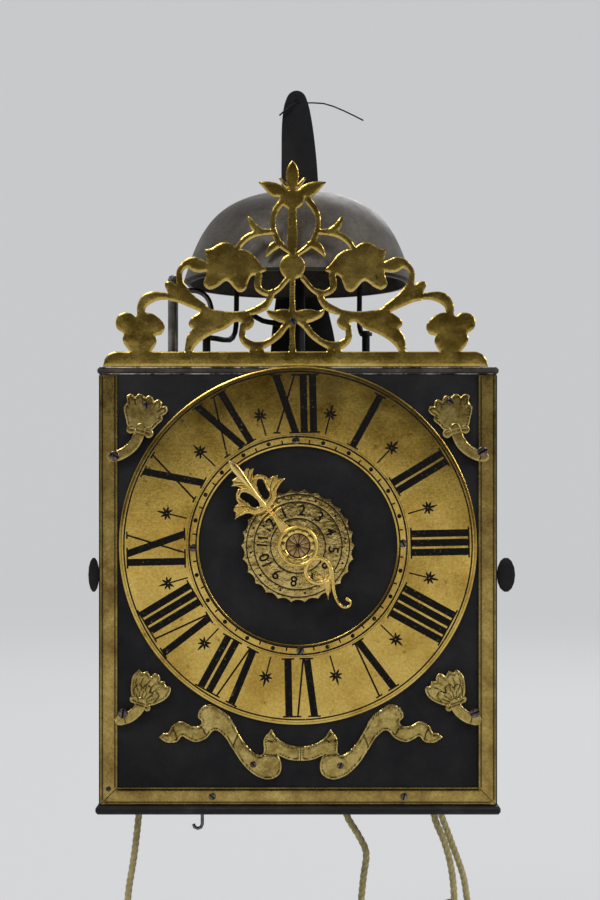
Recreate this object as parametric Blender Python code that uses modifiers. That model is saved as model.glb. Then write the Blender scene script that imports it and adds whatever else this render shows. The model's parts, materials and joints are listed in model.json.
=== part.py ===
# Comtoise clock movement with its dial, bell, striking work, alarm work and ropes.
# Metres, +Z up, the dial faces -Y. The origin is the middle of the bottom plate's underside.
import math

import bmesh
import bpy
from mathutils import Matrix, Vector

# Gaps between neighbouring pieces, and how far cutters and joined shapes run on
GAP = 0.0003
RUN_ON = 0.0010
PIVOT_PLAY = 0.0003
# The step between the joined layers of one casting
CAST_RELIEF = 0.00003
OUTLINE_SLACK = 0.00070
FULL_TURN = 2 * math.pi
FACING_FRONT = (math.pi / 2, 0, 0)

# Cage
CAGE_WIDTH = 0.2400
CAGE_DEPTH = 0.1500
TOP_THICKNESS = 0.0045
BOTTOM_THICKNESS = 0.0050
CAGE_HEIGHT = 0.2680
PLATE_OVERHANG = 0.0006
BOTTOM_OVERHANG = 0.0012
BOTTOM_LIP = 0.0050
PLATE_ROUNDING = 0.0014
POST_SIDE = 0.0080
POST_CHAMFER = 0.0008
REAR_POST_INSET = 0.0100
SHEET_THICKNESS = 0.0012
FRONT_THICKNESS = 0.0016
FRONT_PLATE_MARGIN = 0.0006
DIAL_HOLE_RADIUS = 0.0060

# Side doors and their thumb plates
DOOR_TRAVEL_GAP = 0.0005
DOOR_PIN_RADIUS = 0.0020
DOOR_PIN_INSET = 0.0060
DOOR_PIN_DEPTH = 0.0040
THUMB_HEIGHT = 0.0210
RIGHT_THUMB_WIDTH = 0.0110
LEFT_THUMB_WIDTH = 0.0065
THUMB_THICKNESS = 0.0020
THUMB_MIDDLE_HEIGHT = 0.1430
THUMB_FROM_FRONT = 0.0030

# Dial and the brass on the front plate
DIAL_OVER_TOP = 0.0002
DIAL_FROM_BORDER = 0.0016
DIAL_FROM_BOTTOM = 0.0534
DIAL_OPENING_SHARE = 0.5540
DIAL_THICKNESS = 0.0011
DIAL_DOME = 0.0009
BORDER_WIDTH = 0.0102
BORDER_THICKNESS = 0.0010
BORDER_INSET = 0.0008
TRIM_THICKNESS = 0.0022
ORNAMENT_SHARE = 0.46555
COLLAR_THICKNESS = 0.0030
RIBBON_SHARE = 0.9311
RIBBON_THICKNESS = 0.0014
RIBBON_JOINT_X = 0.0016
RIBBON_JOINT_GAP = 0.0005

# Crest
CREST_HALF_WIDTH = 0.1200
CREST_THICKNESS = 0.0018
CREST_SETBACK = 0.0008
CREST_SIDE_SHIFT = -0.0015
CREST_FOOT_DEPTH = 0.0090
CREST_FOOT_HEIGHT = 0.0016

# Bell, its stand and its nut
BELL_RADIUS = 0.0715
BELL_HEIGHT = 0.0565
BELL_RIM_OVER_TOP = 0.0585
BELL_WALL = 0.0024
BELL_HOLE_RADIUS = 0.0036
STAND_RADIUS = 0.0045
STAND_FOOT_RADIUS = 0.0110
STAND_FOOT_HEIGHT = 0.0050
STAND_THREAD_RADIUS = 0.0030
STAND_THREAD_LENGTH = 0.0110
BELL_NUT_SIDE = 0.0095
BELL_NUT_HEIGHT = 0.0055

# Hanging strap behind the cage, and the wire through its hole
STRAP_THICKNESS = 0.0032
STRAP_FOOT_HEIGHT = 0.1900
STRAP_TOP_OVER_TOP = 0.2030
STRAP_HALF_WIDTH = 0.0220
STRAP_HOLE_RADIUS = 0.0030
STRAP_HOLE_DROP = 0.0085
STRAP_TIP_X = -0.0010
WIRE_RADIUS = 0.0006

# Vertical bars that carry the trains
BAR_WIDTH = 0.0140
BAR_THICKNESS = 0.0050
FRONT_BAR_Y = -0.0580
REAR_BAR_Y = 0.0420
CENTRE_BAR_WIDTH = 0.0110
GOING_X = 0.0570
STRIKE_X = -0.0731

# Going train
CROWN_UNDER_TOP = 0.0376
GREAT_TEETH = 48
GREAT_RADIUS = 0.0360
WHEEL_THICKNESS = 0.0026
PINION_LEAVES = 6
PINION_EXTRA = 0.0030
SECOND_TEETH = 48
SECOND_RADIUS = 0.0288
CONTRATE_TEETH = 48
CONTRATE_RADIUS = 0.0220
CONTRATE_RIM = 0.0030
CONTRATE_TOOTH_LENGTH = 0.0024
CONTRATE_TOOTH_SHARE = 0.36
CONTRATE_TOOTH_DEPTH_SHARE = 0.90
CROWN_LEAVES = 6
CROWN_PINION_LENGTH = 0.0080
CROWN_MESH_GAP = 0.0009
CROWN_TOOTH_SHARE = 0.62
CROWN_TEETH = 25
CROWN_RADIUS = 0.0170
CROWN_RIM = 0.0024
CROWN_BAND_HEIGHT = 0.0050
CROWN_TOOTH_HEIGHT = 0.0060
CROWN_WEB_THICKNESS = 0.0022
CROWN_RISE = 0.0200
ARBOR_RADIUS = 0.0017
PIVOT_RADIUS = 0.0011
GREAT_ARBOR_RADIUS = 0.0032
GREAT_PIVOT_RADIUS = 0.0022
CROWN_ARBOR_RADIUS = 0.0012
GREAT_PLANE_Y = -0.0225
SECOND_PLANE_Y = -0.0425
CONTRATE_PLANE_Y = 0.0095
REPORT_LEAVES = 12
TOOTH_SHARE = 0.26
CROSSING_TURN_SHARE = 0.23
TOOTH_DEPTH_SHARE = 1.25
HOUR_RIM = 0.0080
HOUR_SPOKE = 0.0080
SNAIL_STEP_SHARE = 0.94
HOUR_TEETH = 48
HOUR_PLANE_Y = -0.0675
HOUR_WHEEL_THICKNESS = 0.0020
SNAIL_RADIUS = 0.0420
SNAIL_LOW_RADIUS = 0.0200
HOUR_ARBOR_RADIUS = 0.0030
POTENCE_THICKNESS = 0.0036
POTENCE_WIDTH = 0.0100

# Rope pulleys
PULLEY_ROPE_RADIUS = 0.0282
PULLEY_CENTRE_Y = -0.0080
PULLEY_WIDTH = 0.0150
PULLEY_FLANGE = 0.0040
PULLEY_BORE_PLAY = 0.0003
RATCHET_TEETH = 16
RATCHET_RADIUS = 0.0170
RATCHET_TOOTH = 0.0022
RATCHET_THICKNESS = 0.0018
RATCHET_TIP_SHARE = 0.82

# Pendulum and verge
VERGE_RADIUS = 0.0016
PALLET_WIDTH = 0.0060
PALLET_DROP = 0.0024
PALLET_THICKNESS = 0.0012
VERGE_CLEARANCE = 0.0014
PENDULUM_Y = 0.0580
PENDULUM_LENGTH = 0.1750
PENDULUM_ROD_RADIUS = 0.0013
BOB_RADIUS = 0.0110
BOB_HEIGHT = 0.0260

# Strike train
STRIKE_GREAT_HEIGHT = 0.0720
PIN_COUNT = 8
PIN_CIRCLE_RADIUS = 0.0220
PIN_RADIUS = 0.0013
PIN_LENGTH = 0.0060
FLY_VANE_WIDTH = 0.0360
FLY_VANE_HEIGHT = 0.0180
FLY_VANE_THICKNESS = 0.0008
FLY_Y = 0.0200
RACK_X = -0.0330
RACK_Y = -0.0650
RACK_WIDTH = 0.0060
RACK_THICKNESS = 0.0020
RACK_TEETH = 12
RACK_PITCH = 0.0015
RACK_TOOTH_DEPTH = 0.0014
RACK_OVER_SNAIL = 0.0032
RACK_UNDER_TOP = 0.0075
RACK_FINGER = 0.0080
PULL_X = -0.0600
PULL_Y = -0.0300
PULL_WIRE_RADIUS = 0.0012
PULL_BELOW = 0.0150
PULL_TOP_HEIGHT = 0.0700
PULL_HOOK_RADIUS = 0.0028
PULL_PLAY = 0.0006
PULL_TRAVEL = 0.0100

# Hammers over the top plate
STRIKE_HAMMER_X = -0.0590
STRIKE_HAMMER_Y = 0.0000
HAMMER_ARBOR_RADIUS = 0.0026
HAMMER_COLLAR_RADIUS = 0.0042
HAMMER_COLLAR_HEIGHT = 0.0022
HAMMER_WIRE_RADIUS = 0.0019
HAMMER_HEAD_RADIUS = 0.0050
HAMMER_HEAD_LENGTH = 0.0110
STRIKE_TAIL_RISE = 0.0132
STRIKE_BEARING_UNDER_FLY = 0.0019
STRIKE_COLLAR_OVER_TOP = 0.0250
ALARM_COLLAR_OVER_TOP = 0.0300
HAMMER_TAIL_SHARE = 0.65
ALARM_HEAD_SHARE = 0.75
STOP_CAP_SHARE = 1.05
ALARM_HAMMER_X = 0.0450
ALARM_HAMMER_Y = 0.0300
ALARM_TAIL_UNDER_TOP = 0.0280
STOP_X = -0.0806
STOP_Y = 0.0000
STOP_RADIUS = 0.0033
STOP_OVER_TOP = 0.0620

# Alarm work
ALARM_X = 0.0815
ALARM_Y = 0.0300
ALARM_HEIGHT = 0.1980
ALARM_ROPE_RADIUS = 0.0100
ALARM_WHEEL_RADIUS = 0.0140
ALARM_TEETH = 15
ALARM_LUG_WIDTH = 0.0100
ALARM_LUG_THICKNESS = 0.0030
ALARM_LUG_SPREAD = 0.0120
ALARM_DISC_RADIUS = 0.0342
ALARM_DISC_THICKNESS = 0.0010
ALARM_DISC_GAP = 0.0014
ALARM_SCALLOPS = 26
SCALLOP_DEPTH = 0.0017

# Hour hand
HAND_LENGTH = 0.0651
HAND_THICKNESS = 0.0018
HAND_TURN = math.radians(39.0)
BOSS_RADIUS = 0.0122
BOSS_THICKNESS = 0.0030
HAND_RING_SHARE = 0.115
HAND_RING_HALF_SHARE = 0.014
HAND_RING_PLACE_SHARE = -0.293

# Ropes
ROPE_RADIUS = 0.00225
ROPE_HOLE_RADIUS = 0.0050
ROPE_ARC_STEPS = 10
STRIKE_KNOT_HEIGHT = 0.0250
ALARM_KNOT_HEIGHT = 0.1500
HANK_RUN = 0.0720
HANK_WIDTH = 0.0180
HANK_WAIST = 0.0110
HANK_PITCH = 0.0056
HANK_LOOP_POINTS = 24
STRIKE_HANK_LOOPS = 2
GOING_HANK_LOOPS = 2
ALARM_HANK_LOOPS = 2

# Heights and places that follow from the sizes above
TOP_UNDERSIDE = CAGE_HEIGHT - TOP_THICKNESS
FRONT_Y = -CAGE_DEPTH / 2
REAR_Y = CAGE_DEPTH / 2
HALF_WIDTH = CAGE_WIDTH / 2
# The dial fills the cage's front, as wide as the borders and the ribbons below leave it
DIAL_RADIUS = min(HALF_WIDTH - BORDER_INSET - BORDER_WIDTH - DIAL_FROM_BORDER,
                  (CAGE_HEIGHT + DIAL_OVER_TOP - DIAL_FROM_BOTTOM) / 2)
DIAL_OPENING_RADIUS = DIAL_RADIUS * DIAL_OPENING_SHARE
ORNAMENT_REACH = DIAL_RADIUS * ORNAMENT_SHARE
RIBBON_SPAN = DIAL_RADIUS * RIBBON_SHARE
DIAL_HEIGHT = CAGE_HEIGHT + DIAL_OVER_TOP - DIAL_RADIUS
STANDING_LOW = BOTTOM_THICKNESS + GAP
STANDING_HIGH = TOP_UNDERSIDE - GAP
TRIM_BACK_Y = FRONT_Y - GAP
BORDER_FRONT_Y = TRIM_BACK_Y - BORDER_THICKNESS
DOOR_PIN_X = HALF_WIDTH - SHEET_THICKNESS - DOOR_PIN_RADIUS / 2
DOOR_PIN_Y = REAR_Y - DOOR_PIN_INSET
PINION_RADIUS = GREAT_RADIUS * PINION_LEAVES / GREAT_TEETH
SECOND_PINION_RADIUS = SECOND_RADIUS * PINION_LEAVES / SECOND_TEETH
CROWN_PINION_RADIUS = CONTRATE_RADIUS * CROWN_LEAVES / CONTRATE_TEETH
CROWN_TOOTH_ROOT = CROWN_PINION_RADIUS * (1 - TOOTH_DEPTH_SHARE * TOOTH_SHARE * FULL_TURN / CROWN_LEAVES)
# The going train hangs under the top plate, counted down from the crown wheel's teeth
CROWN_OVER_CONTRATE = CONTRATE_RADIUS + CROWN_RISE + CROWN_BAND_HEIGHT + CROWN_TOOTH_HEIGHT
CONTRATE_OVER_GREAT = GREAT_RADIUS + PINION_RADIUS + SECOND_RADIUS + SECOND_PINION_RADIUS
GOING_GREAT_HEIGHT = TOP_UNDERSIDE - CROWN_UNDER_TOP - CROWN_OVER_CONTRATE - CONTRATE_OVER_GREAT
SECOND_HEIGHT = GOING_GREAT_HEIGHT + GREAT_RADIUS + PINION_RADIUS
CONTRATE_HEIGHT = SECOND_HEIGHT + SECOND_RADIUS + SECOND_PINION_RADIUS
CONTRATE_TEETH_Y = CONTRATE_PLANE_Y + WHEEL_THICKNESS / 2
CROWN_Y = CONTRATE_TEETH_Y + CONTRATE_TOOTH_LENGTH + CROWN_MESH_GAP + CROWN_TOOTH_ROOT
CROWN_MESH_HEIGHT = CONTRATE_HEIGHT + CONTRATE_RADIUS
CROWN_BAND_LOW = CROWN_MESH_HEIGHT + CROWN_RISE
CROWN_TIPS = CROWN_BAND_LOW + CROWN_BAND_HEIGHT + CROWN_TOOTH_HEIGHT
LOWER_POTENCE = CROWN_MESH_HEIGHT - CROWN_PINION_LENGTH / 2 - GAP - POTENCE_THICKNESS
UPPER_POTENCE = CROWN_MESH_HEIGHT + CROWN_PINION_LENGTH / 2 + GAP
POTENCE_FRONT_Y = CONTRATE_TEETH_Y + CONTRATE_TOOTH_LENGTH + GAP
VERGE_HEIGHT = CROWN_TIPS + VERGE_CLEARANCE + PALLET_DROP
HOUR_DISTANCE = math.hypot(GOING_X, DIAL_HEIGHT - GOING_GREAT_HEIGHT)
REPORT_RADIUS = HOUR_DISTANCE * REPORT_LEAVES / (REPORT_LEAVES + HOUR_TEETH)
HOUR_RADIUS = HOUR_DISTANCE * HOUR_TEETH / (REPORT_LEAVES + HOUR_TEETH)
PIN_WHEEL_HEIGHT = STRIKE_GREAT_HEIGHT + GREAT_RADIUS + PINION_RADIUS
FLY_HEIGHT = PIN_WHEEL_HEIGHT + SECOND_RADIUS + SECOND_PINION_RADIUS
STRIKE_BEARING_HEIGHT = FLY_HEIGHT - FLY_VANE_WIDTH / 2 - STRIKE_BEARING_UNDER_FLY
STRIKE_TAIL_HEIGHT = STRIKE_BEARING_HEIGHT + STRIKE_TAIL_RISE
RACK_LOW_HEIGHT = DIAL_HEIGHT + SNAIL_RADIUS + RACK_OVER_SNAIL
RACK_TOP_HEIGHT = TOP_UNDERSIDE - RACK_UNDER_TOP
BELL_RIM_HEIGHT = CAGE_HEIGHT + BELL_RIM_OVER_TOP
BELL_TOP_HEIGHT = BELL_RIM_HEIGHT + BELL_HEIGHT
STRAP_TOP_HEIGHT = CAGE_HEIGHT + STRAP_TOP_OVER_TOP
STRIKE_COLLAR_HEIGHT = CAGE_HEIGHT + STRIKE_COLLAR_OVER_TOP
ALARM_COLLAR_HEIGHT = CAGE_HEIGHT + ALARM_COLLAR_OVER_TOP
ALARM_TAIL_HEIGHT = CAGE_HEIGHT - ALARM_TAIL_UNDER_TOP
STOP_HEIGHT = CAGE_HEIGHT + STOP_OVER_TOP
ALARM_DISC_Y = FRONT_Y - GAP - ALARM_DISC_GAP - ALARM_DISC_THICKNESS
HAND_BACK_Y = ALARM_DISC_Y - ALARM_DISC_THICKNESS - GAP

# A tooth's tip and the root after it: across, in shares of the pitch, then out from the circle
TOOTH_FLANK_SHARES = ((0, 1), (0.5, -TOOTH_DEPTH_SHARE))

# Outlines, as percentages of the size that each follows, chosen by eye
BELL_SHARES = [
    (20, 100), (40, 95), (58, 86), (72, 73), (83, 55), (91, 34), (97, 12), (100, 0),
]
STRAP_SHARES = [
    (-82, 0), (-85, 37), (-52, 62), (-52, 83), (-48, 94), (-40, 97.2), (-26, 99.3),
    (-4.5, 100), (17, 99.3), (30, 97.2), (40, 94), (57, 84), (66, 74), (85, 50), (118, 37),
    (112, 0),
]
CREST_BASE_SHARES = [
    (-96.4, 0), (-95.5, 3), (-93.5, 5), (-90.5, 6), (0, 6), (2, 6), (2, 0),
]
CREST_FLOWER_SHARES = [
    (-78.8, 5), (-85, 10), (-86.6, 13.9), (-86, 16.2), (-89.2, 18.8), (-90, 22.4),
    (-88.6, 25.7), (-85.6, 27), (-82.4, 26.6), (-80.4, 25), (-79.4, 25.9), (-79.4, 29),
    (-78.4, 32.9), (-75.8, 36.1), (-72.5, 37.4), (-68.6, 37.4), (-63, 36.5), (-63, 33.6),
    (-68.6, 33.2), (-72.5, 31.6), (-74.8, 29.6), (-75.5, 27.2), (-71.9, 26.6), (-68, 24),
    (-65.7, 21.1), (-65.7, 18.5), (-67.3, 16.2), (-70.3, 15.5), (-69.6, 12.6),
    (-70.6, 10), (-75.5, 5),
]
CREST_CALYX_SHARES = [
    (-63.7, 33.3), (-64, 36.8), (-65.4, 41.4), (-64.4, 42.6), (-61.8, 42.3),
    (-59.5, 40.7), (-59.7, 44.6), (-59.5, 47.9), (-57.8, 50.8), (-54.2, 54.1),
    (-50.3, 54.9), (-47, 53.6), (-44, 51.8), (-44, 47.7), (-48.4, 47.2), (-51.6, 47.9),
    (-53.9, 49.4), (-55.6, 48.7), (-56.7, 46.6), (-56.5, 43.3), (-54.2, 39.4),
    (-50.3, 35.1), (-44.6, 30.9), (-46.8, 27), (-52.9, 29.6), (-58.2, 31.9),
]
CREST_LEAF_SHARES = [
    (-45.4, 58.7), (-42.5, 59), (-39.2, 61), (-35.3, 62.3), (-32, 61.3), (-29.4, 59.3),
    (-24.8, 58.3), (-20.9, 55.7), (-17.6, 51.5), (-14.2, 48.1), (-18, 46.5),
    (-22.2, 45), (-23.7, 42), (-25.5, 38.1), (-28.1, 37.4), (-30.7, 39.4),
    (-33.3, 42.3), (-34.6, 43), (-39.2, 40), (-43.1, 38.7), (-45.9, 41),
    (-44.8, 45.9), (-44.4, 51.8),
]
CREST_RUNNER_SHARES = [
    (-45.1, 30.8), (-42.5, 28.9), (-37.3, 28), (-30.7, 27.6), (-24.2, 28.3),
    (-19.3, 29.7), (-17, 28.3), (-22.2, 25.7), (-20.6, 22.4), (-22.9, 18.8),
    (-25.5, 18), (-27.6, 22.1), (-30.1, 22.4), (-34.6, 19.1), (-41.2, 16.5),
    (-45.8, 13.9), (-49, 11.3), (-51.3, 8.3), (-51.8, 5), (-55.6, 5), (-55.2, 10.6),
    (-54.2, 15.2), (-51.6, 18.8), (-53.5, 20.8), (-52.8, 23.4), (-49.7, 26),
    (-47.5, 27.4),
]
CREST_FOOT_SHARES = [(-23.9, 5), (-21.6, 10.6), (-16.7, 10.8), (-14.7, 5)]
CREST_ARM_SHARES = [
    (-14.9, 29.6), (-12.4, 28), (-6.5, 28.8), (-1.3, 28), (0.5, 27.5), (0.5, 24.2),
    (-5.2, 21.8), (-9.8, 23.1), (-13.7, 25.7),
]
CREST_LILY_SHARES = [
    (0.5, 103), (-0.6, 103), (-1.7, 100.5), (-2.9, 97), (-3, 94), (-2.3, 91.6),
    (-6.2, 92.7), (-8.8, 94.3), (-7.2, 91.3), (-12, 91.5), (-17.2, 91.5),
    (-14, 88), (-10.2, 84.8), (-7, 82.8), (-5, 79), (-1.8, 77), (0.5, 77),
]
CREST_STEM_SHARES = [
    (0.5, 4), (-2, 4), (-2, 22), (-3.2, 24), (-2, 27), (-1.4, 44), (-1.6, 56), (-2.4, 60),
    (-2, 78), (-2, 80), (0.5, 80),
]
CREST_ROSETTE_SHARE = 5.8
CREST_ROSETTE_HEIGHT_SHARE = 50
# Each scroll of the crest: its middle line, then its half widths
CREST_SCROLL_SHARES = [
    ([(-30.2, 57.5), (-26, 63.1), (-21.6, 65.9), (-17.1, 67.2), (-10.6, 67.5)],
     [1.1, 1.4, 1.4, 1.5, 1.2]),
    ([(-15.5, 67), (-20.3, 69.4), (-23.2, 74.4)], [1.2, 1.7, 0.7]),
    ([(-6.2, 83.5), (-10.2, 77.7), (-11.3, 72), (-10.3, 66.3), (-7.5, 61.1), (-1.5, 56.4)],
     [1.5, 1.4, 1.2, 1.3, 1.3, 1.0]),
    ([(-7, 61.4), (-11.2, 60), (-14.4, 55.7)], [1.2, 1.9, 0.6]),
    ([(-3.6, 44.5), (-8.2, 39), (-12.2, 36.8), (-16, 37.2), (-18.9, 40), (-18.4, 45.6)],
     [1.2, 1.1, 1.4, 1.3, 1.5, 1.6]),
    ([(-11.6, 37.5), (-13.3, 33.1), (-16.2, 29.9), (-21, 27.7)], [1.3, 1.5, 1.8, 1.6]),
    ([(-26.3, 20.4), (-26.6, 14.6), (-23.5, 11.2), (-19, 10.2), (-13.7, 12), (-8.5, 15.9),
      (-5.2, 20.1), (-1.6, 23.4)],
     [1.4, 1.5, 1.9, 2.0, 1.5, 1.5, 1.5, 1.6]),
]

SHELL_SHARES = [
    (37.9, -63.5), (33.5, -51), (31.8, -38.7), (35.6, -32.6), (34.4, -25.5), (39.7, -23.2),
    (45, -26.8), (49.4, -23.2), (54.1, -24.6), (57.3, -27.8), (62.2, -25), (66.4, -28.5),
    (67.1, -32.6), (73.1, -29.9), (77, -33.8), (76.6, -37.8), (81.9, -37.5),
    (83.7, -43.1), (79.8, -47.9), (76.6, -49.3), (77.5, -53.7), (71.4, -59.8),
    (63.4, -67),
]
SHELL_STEM_SHARES = ([(52, -64), (48.5, -75), (43.5, -84), (35.3, -91.5), (25, -97), (17, -98.6)],
                     [6.0, 6.3, 6.3, 6.2, 6.2, 5.4])
SHELL_COLLAR_SHARES = ([(39.6, -65.6), (50.3, -66.2), (61.2, -70.4)], [4.4, 3.6, 4.8])
FLOWER_SHARES = [
    (42, 129.5), (40.4, 146.6), (42.8, 155.8), (47.3, 160.4), (49.6, 163.2), (53.8, 158.6),
    (59.3, 161), (63.9, 154.3), (69.4, 158), (74, 154.9), (74.9, 148.5), (80.4, 148.5),
    (81.9, 143), (86.8, 141.5), (87.4, 136.5), (82.3, 128.3), (73.1, 122.7),
    (62, 119.5), (50, 124),
]
FLOWER_STEM_SHARES = ([(52.5, 124), (50, 117), (45, 111), (37.3, 105.9), (27.4, 103)],
                      [6.0, 6.3, 6.4, 6.6, 6.8])
FLOWER_COLLAR_SHARES = ([(42.5, 127), (50.5, 122), (59.5, 116.8)], [3.6, 3.5, 3.6])
RIBBON_SHARES = [
    (-85, 45.9), (-82, 48.4), (-79.5, 48.6), (-77, 52.7), (-71.5, 55.4), (-66, 53),
    (-61.1, 52.7), (-59.3, 55.1), (-61.5, 58.2), (-59.9, 63.1), (-54.4, 65.6),
    (-47.8, 62.2), (-42.2, 57.6), (-37.3, 48.4), (-31.1, 39.8), (-24.4, 35.2),
    (-22.6, 36.1), (-22, 44.7), (-17.7, 50.8), (-14, 45.3), (-6.7, 41.3), (4, 40.2),
    (4, 31.9), (-6.7, 32.5), (-13.4, 35.2), (-11.6, 30), (-12.8, 23.9), (-18.9, 20.8),
    (-26.2, 22.7), (-33.6, 28.8), (-40.9, 39.2), (-45.8, 46.6), (-51.3, 50.2),
    (-56.8, 45.3), (-63, 43.2), (-68.5, 45.3), (-70.9, 46.6), (-74, 43.5), (-80.1, 42.9),
]
# Half of the hour hand's head: across, then along, as percentages of its length
HAND_HEAD_SHARES = [
    (0.8, 100), (1.2, 98.6), (3.4, 94), (3.7, 89), (2.6, 84.5), (4.5, 84.4), (9.1, 85),
    (9.4, 82.2), (13.4, 80.8), (9.8, 78), (6.6, 73), (10.1, 75), (14.6, 72.4),
    (17.1, 68.8), (18.3, 64.4), (22.5, 64.4), (25.9, 62.2), (25.1, 59.6), (29.7, 55.3),
    (23.8, 54.4), (16.6, 51.6), (13, 47.2), (7, 44.6), (2.2, 43.8), (2, 41.4), (9.8, 41),
    (10, 37.4), (1.8, 37), (2.4, 31), (4.2, 21), (4, 15),
]
HAND_HOLE_SHARES = [
    (6.8, 68.5), (9.6, 70.2), (12.6, 68.4), (12.3, 63.8), (10.8, 59.2), (10.3, 54.6),
    (7.4, 51.6), (4.2, 51.4), (2.9, 54), (3.3, 59), (4.6, 64.5),
]
HAND_TAIL_SHARES = ([(11.5, -30), (10.4, -37), (5.7, -43.8), (0.3, -51.6), (-3.7, -61),
                     (-3.6, -68.8), (0.9, -72.4), (5.2, -70.4), (4.4, -66.4)],
                    [1.2, 1.3, 1.7, 1.7, 1.6, 1.5, 1.4, 1.3, 1.9])
HAND_THORN_SHARES = [(4.5, -43), (-2, -40.5), (-6.3, -47.6), (-9.6, -56), (-3.2, -50.5)]

# The free stretches of the ropes under the bottom plate, point by point
STRIKE_FREE_ROUTE = [(-0.1013, -0.008, -0.004), (-0.1024, -0.008, -0.018),
                     (-0.1050, -0.008, -0.040), (-0.1082, -0.008, -0.060),
                     (-0.1096, -0.008, -0.076)]
GOING_FREE_ROUTE = [(0.0288, -0.008, -0.004), (0.0318, -0.008, -0.015),
                    (0.0390, -0.008, -0.027), (0.0436, -0.008, -0.038),
                    (0.0418, -0.008, -0.054), (0.0396, -0.008, -0.076)]
GOING_SLACK_ROUTE = [(0.0852, -0.008, -0.004), (0.0880, -0.008, -0.017),
                     (0.0934, -0.008, -0.030), (0.0974, -0.008, -0.044),
                     (0.0996, -0.008, -0.060), (0.1002, -0.008, -0.080),
                     (0.1000, -0.008, -0.098)]
ALARM_FREE_ROUTE = [(0.0915, 0.030, -0.004), (0.0942, 0.030, -0.018),
                    (0.1014, 0.030, -0.038), (0.1092, 0.030, -0.060),
                    (0.1120, 0.030, -0.076)]

# Bent wires, point by point, with heights over the top plate
STRIKE_ARM_PLACES = [(-0.0530, 0.0090, 0.0251), (-0.0455, 0.0280, 0.0260),
                     (-0.0420, 0.0380, 0.0320), (-0.0412, 0.0392, 0.0440)]
STRIKE_HEAD_PLACE = (-0.0410, 0.0390, 0.0690)
STRIKE_TAIL_PLACE = (-0.0660, -0.0380)
ALARM_ARM_PLACES = [(0.0430, 0.0335, 0.0304), (0.0410, 0.0366, 0.0360), (0.0410, 0.0366, 0.0520)]
ALARM_HEAD_PLACE = (0.0410, 0.0366, 0.0720)
STOP_ARC_PLACES = [(-0.0790, 0.0, 0.0540), (-0.0697, 0.0, 0.0552), (-0.0639, 0.0, 0.0546),
                   (-0.0588, 0.0, 0.0510), (-0.0562, 0.0, 0.0450), (-0.0552, -0.0020, 0.0360)]
STAND_SPRING_PLACES = [(-0.0020, 0.0, 0.0320), (-0.0150, 0.0020, 0.0345),
                       (-0.0230, 0.0040, 0.0362), (-0.0300, 0.0060, 0.0405)]
# The hanging wire: across, through and up from the hole, as percentages of the strap's half
# width, its thickness and its half width
WIRE_SHARES = [(-54, -45, -42), (-19, -62, -12), (0, 50, 0), (19, 162, 4.5), (85, 150, 2.7),
               (147, 120, -20.5), (210.5, 70, -53.6)]

IRON = ("black_iron", (0.020, 0.019, 0.020), 0.55, 0.75)
STEEL = ("worn_steel", (0.18, 0.17, 0.17), 0.42, 0.90)
BRASS = ("old_brass", (0.52, 0.37, 0.12), 0.36, 0.95)
BRIGHT_BRASS = ("bright_brass", (0.70, 0.53, 0.22), 0.28, 0.95)
BELL_METAL = ("bell_metal", (0.16, 0.14, 0.13), 0.45, 0.80)
LEAD = ("lead", (0.20, 0.20, 0.21), 0.60, 0.70)
ROPE = ("rope_fibre", (0.36, 0.31, 0.12), 0.90, 0.00)


def clear_scene():
    for obj in list(bpy.data.objects):
        bpy.data.objects.remove(obj, do_unlink=True)


def collection(name):
    made = bpy.data.collections.new(name)
    bpy.context.scene.collection.children.link(made)
    return made


def finish(obj, name, look):
    """Names an object, files it with the clock's pieces and gives it its own material."""
    obj.name = name
    obj.data.name = name
    PIECES.objects.link(obj)
    shade, color, roughness, metallic = look
    mat = bpy.data.materials.new(f"{name}_{shade}")
    mat.use_nodes = True
    shader = mat.node_tree.nodes["Principled BSDF"]
    shader.inputs["Base Color"].default_value = (*color, 1)
    shader.inputs["Roughness"].default_value = roughness
    shader.inputs["Metallic"].default_value = metallic
    mat.diffuse_color = (*color, 1)
    obj.data.materials.clear()
    obj.data.materials.append(mat)
    return obj


def loose(data):
    """A new object that is in no collection yet."""
    return bpy.data.objects.new("shape", data)


def from_bmesh(bm):
    mesh = bpy.data.meshes.new("shape")
    bm.to_mesh(mesh)
    bm.free()
    return loose(mesh)


def as_mesh(obj):
    """A mesh copy of a curve or of an object with modifiers, with its caps welded."""
    holder = bpy.context.scene.collection
    if not obj.users_collection:
        holder.objects.link(obj)
    bpy.context.view_layer.update()
    seen = obj.evaluated_get(bpy.context.evaluated_depsgraph_get())
    mesh = bpy.data.meshes.new_from_object(seen)
    bm = bmesh.new()
    bm.from_mesh(mesh)
    bmesh.ops.remove_doubles(bm, verts=bm.verts, dist=GAP / 100)
    bm.to_mesh(mesh)
    bm.free()
    made = loose(mesh)
    made.matrix_world = obj.matrix_world.copy()
    bpy.data.objects.remove(obj, do_unlink=True)
    return made


def settle(obj):
    """Applies an object's place to its mesh."""
    obj.data.transform(obj.matrix_basis)
    obj.matrix_basis = Matrix.Identity(4)
    return obj


def moved(obj, offset):
    obj.data.transform(Matrix.Translation(Vector(offset)))
    return obj


def joined(base, others, operation="UNION"):
    """The base with the others joined to it or cut from it, as a plain mesh."""
    for other in others:
        if not other.users_collection:
            CUTTERS.objects.link(other)
        other.hide_render = True
        other.display_type = "WIRE"
        cut = base.modifiers.new("join", "BOOLEAN")
        cut.operation = operation
        cut.solver = "EXACT"
        cut.object = other
    made = as_mesh(base)
    for other in others:
        bpy.data.objects.remove(other, do_unlink=True)
    return settle(made)


def without(base, cutters):
    return joined(base, cutters, "DIFFERENCE")


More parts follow.
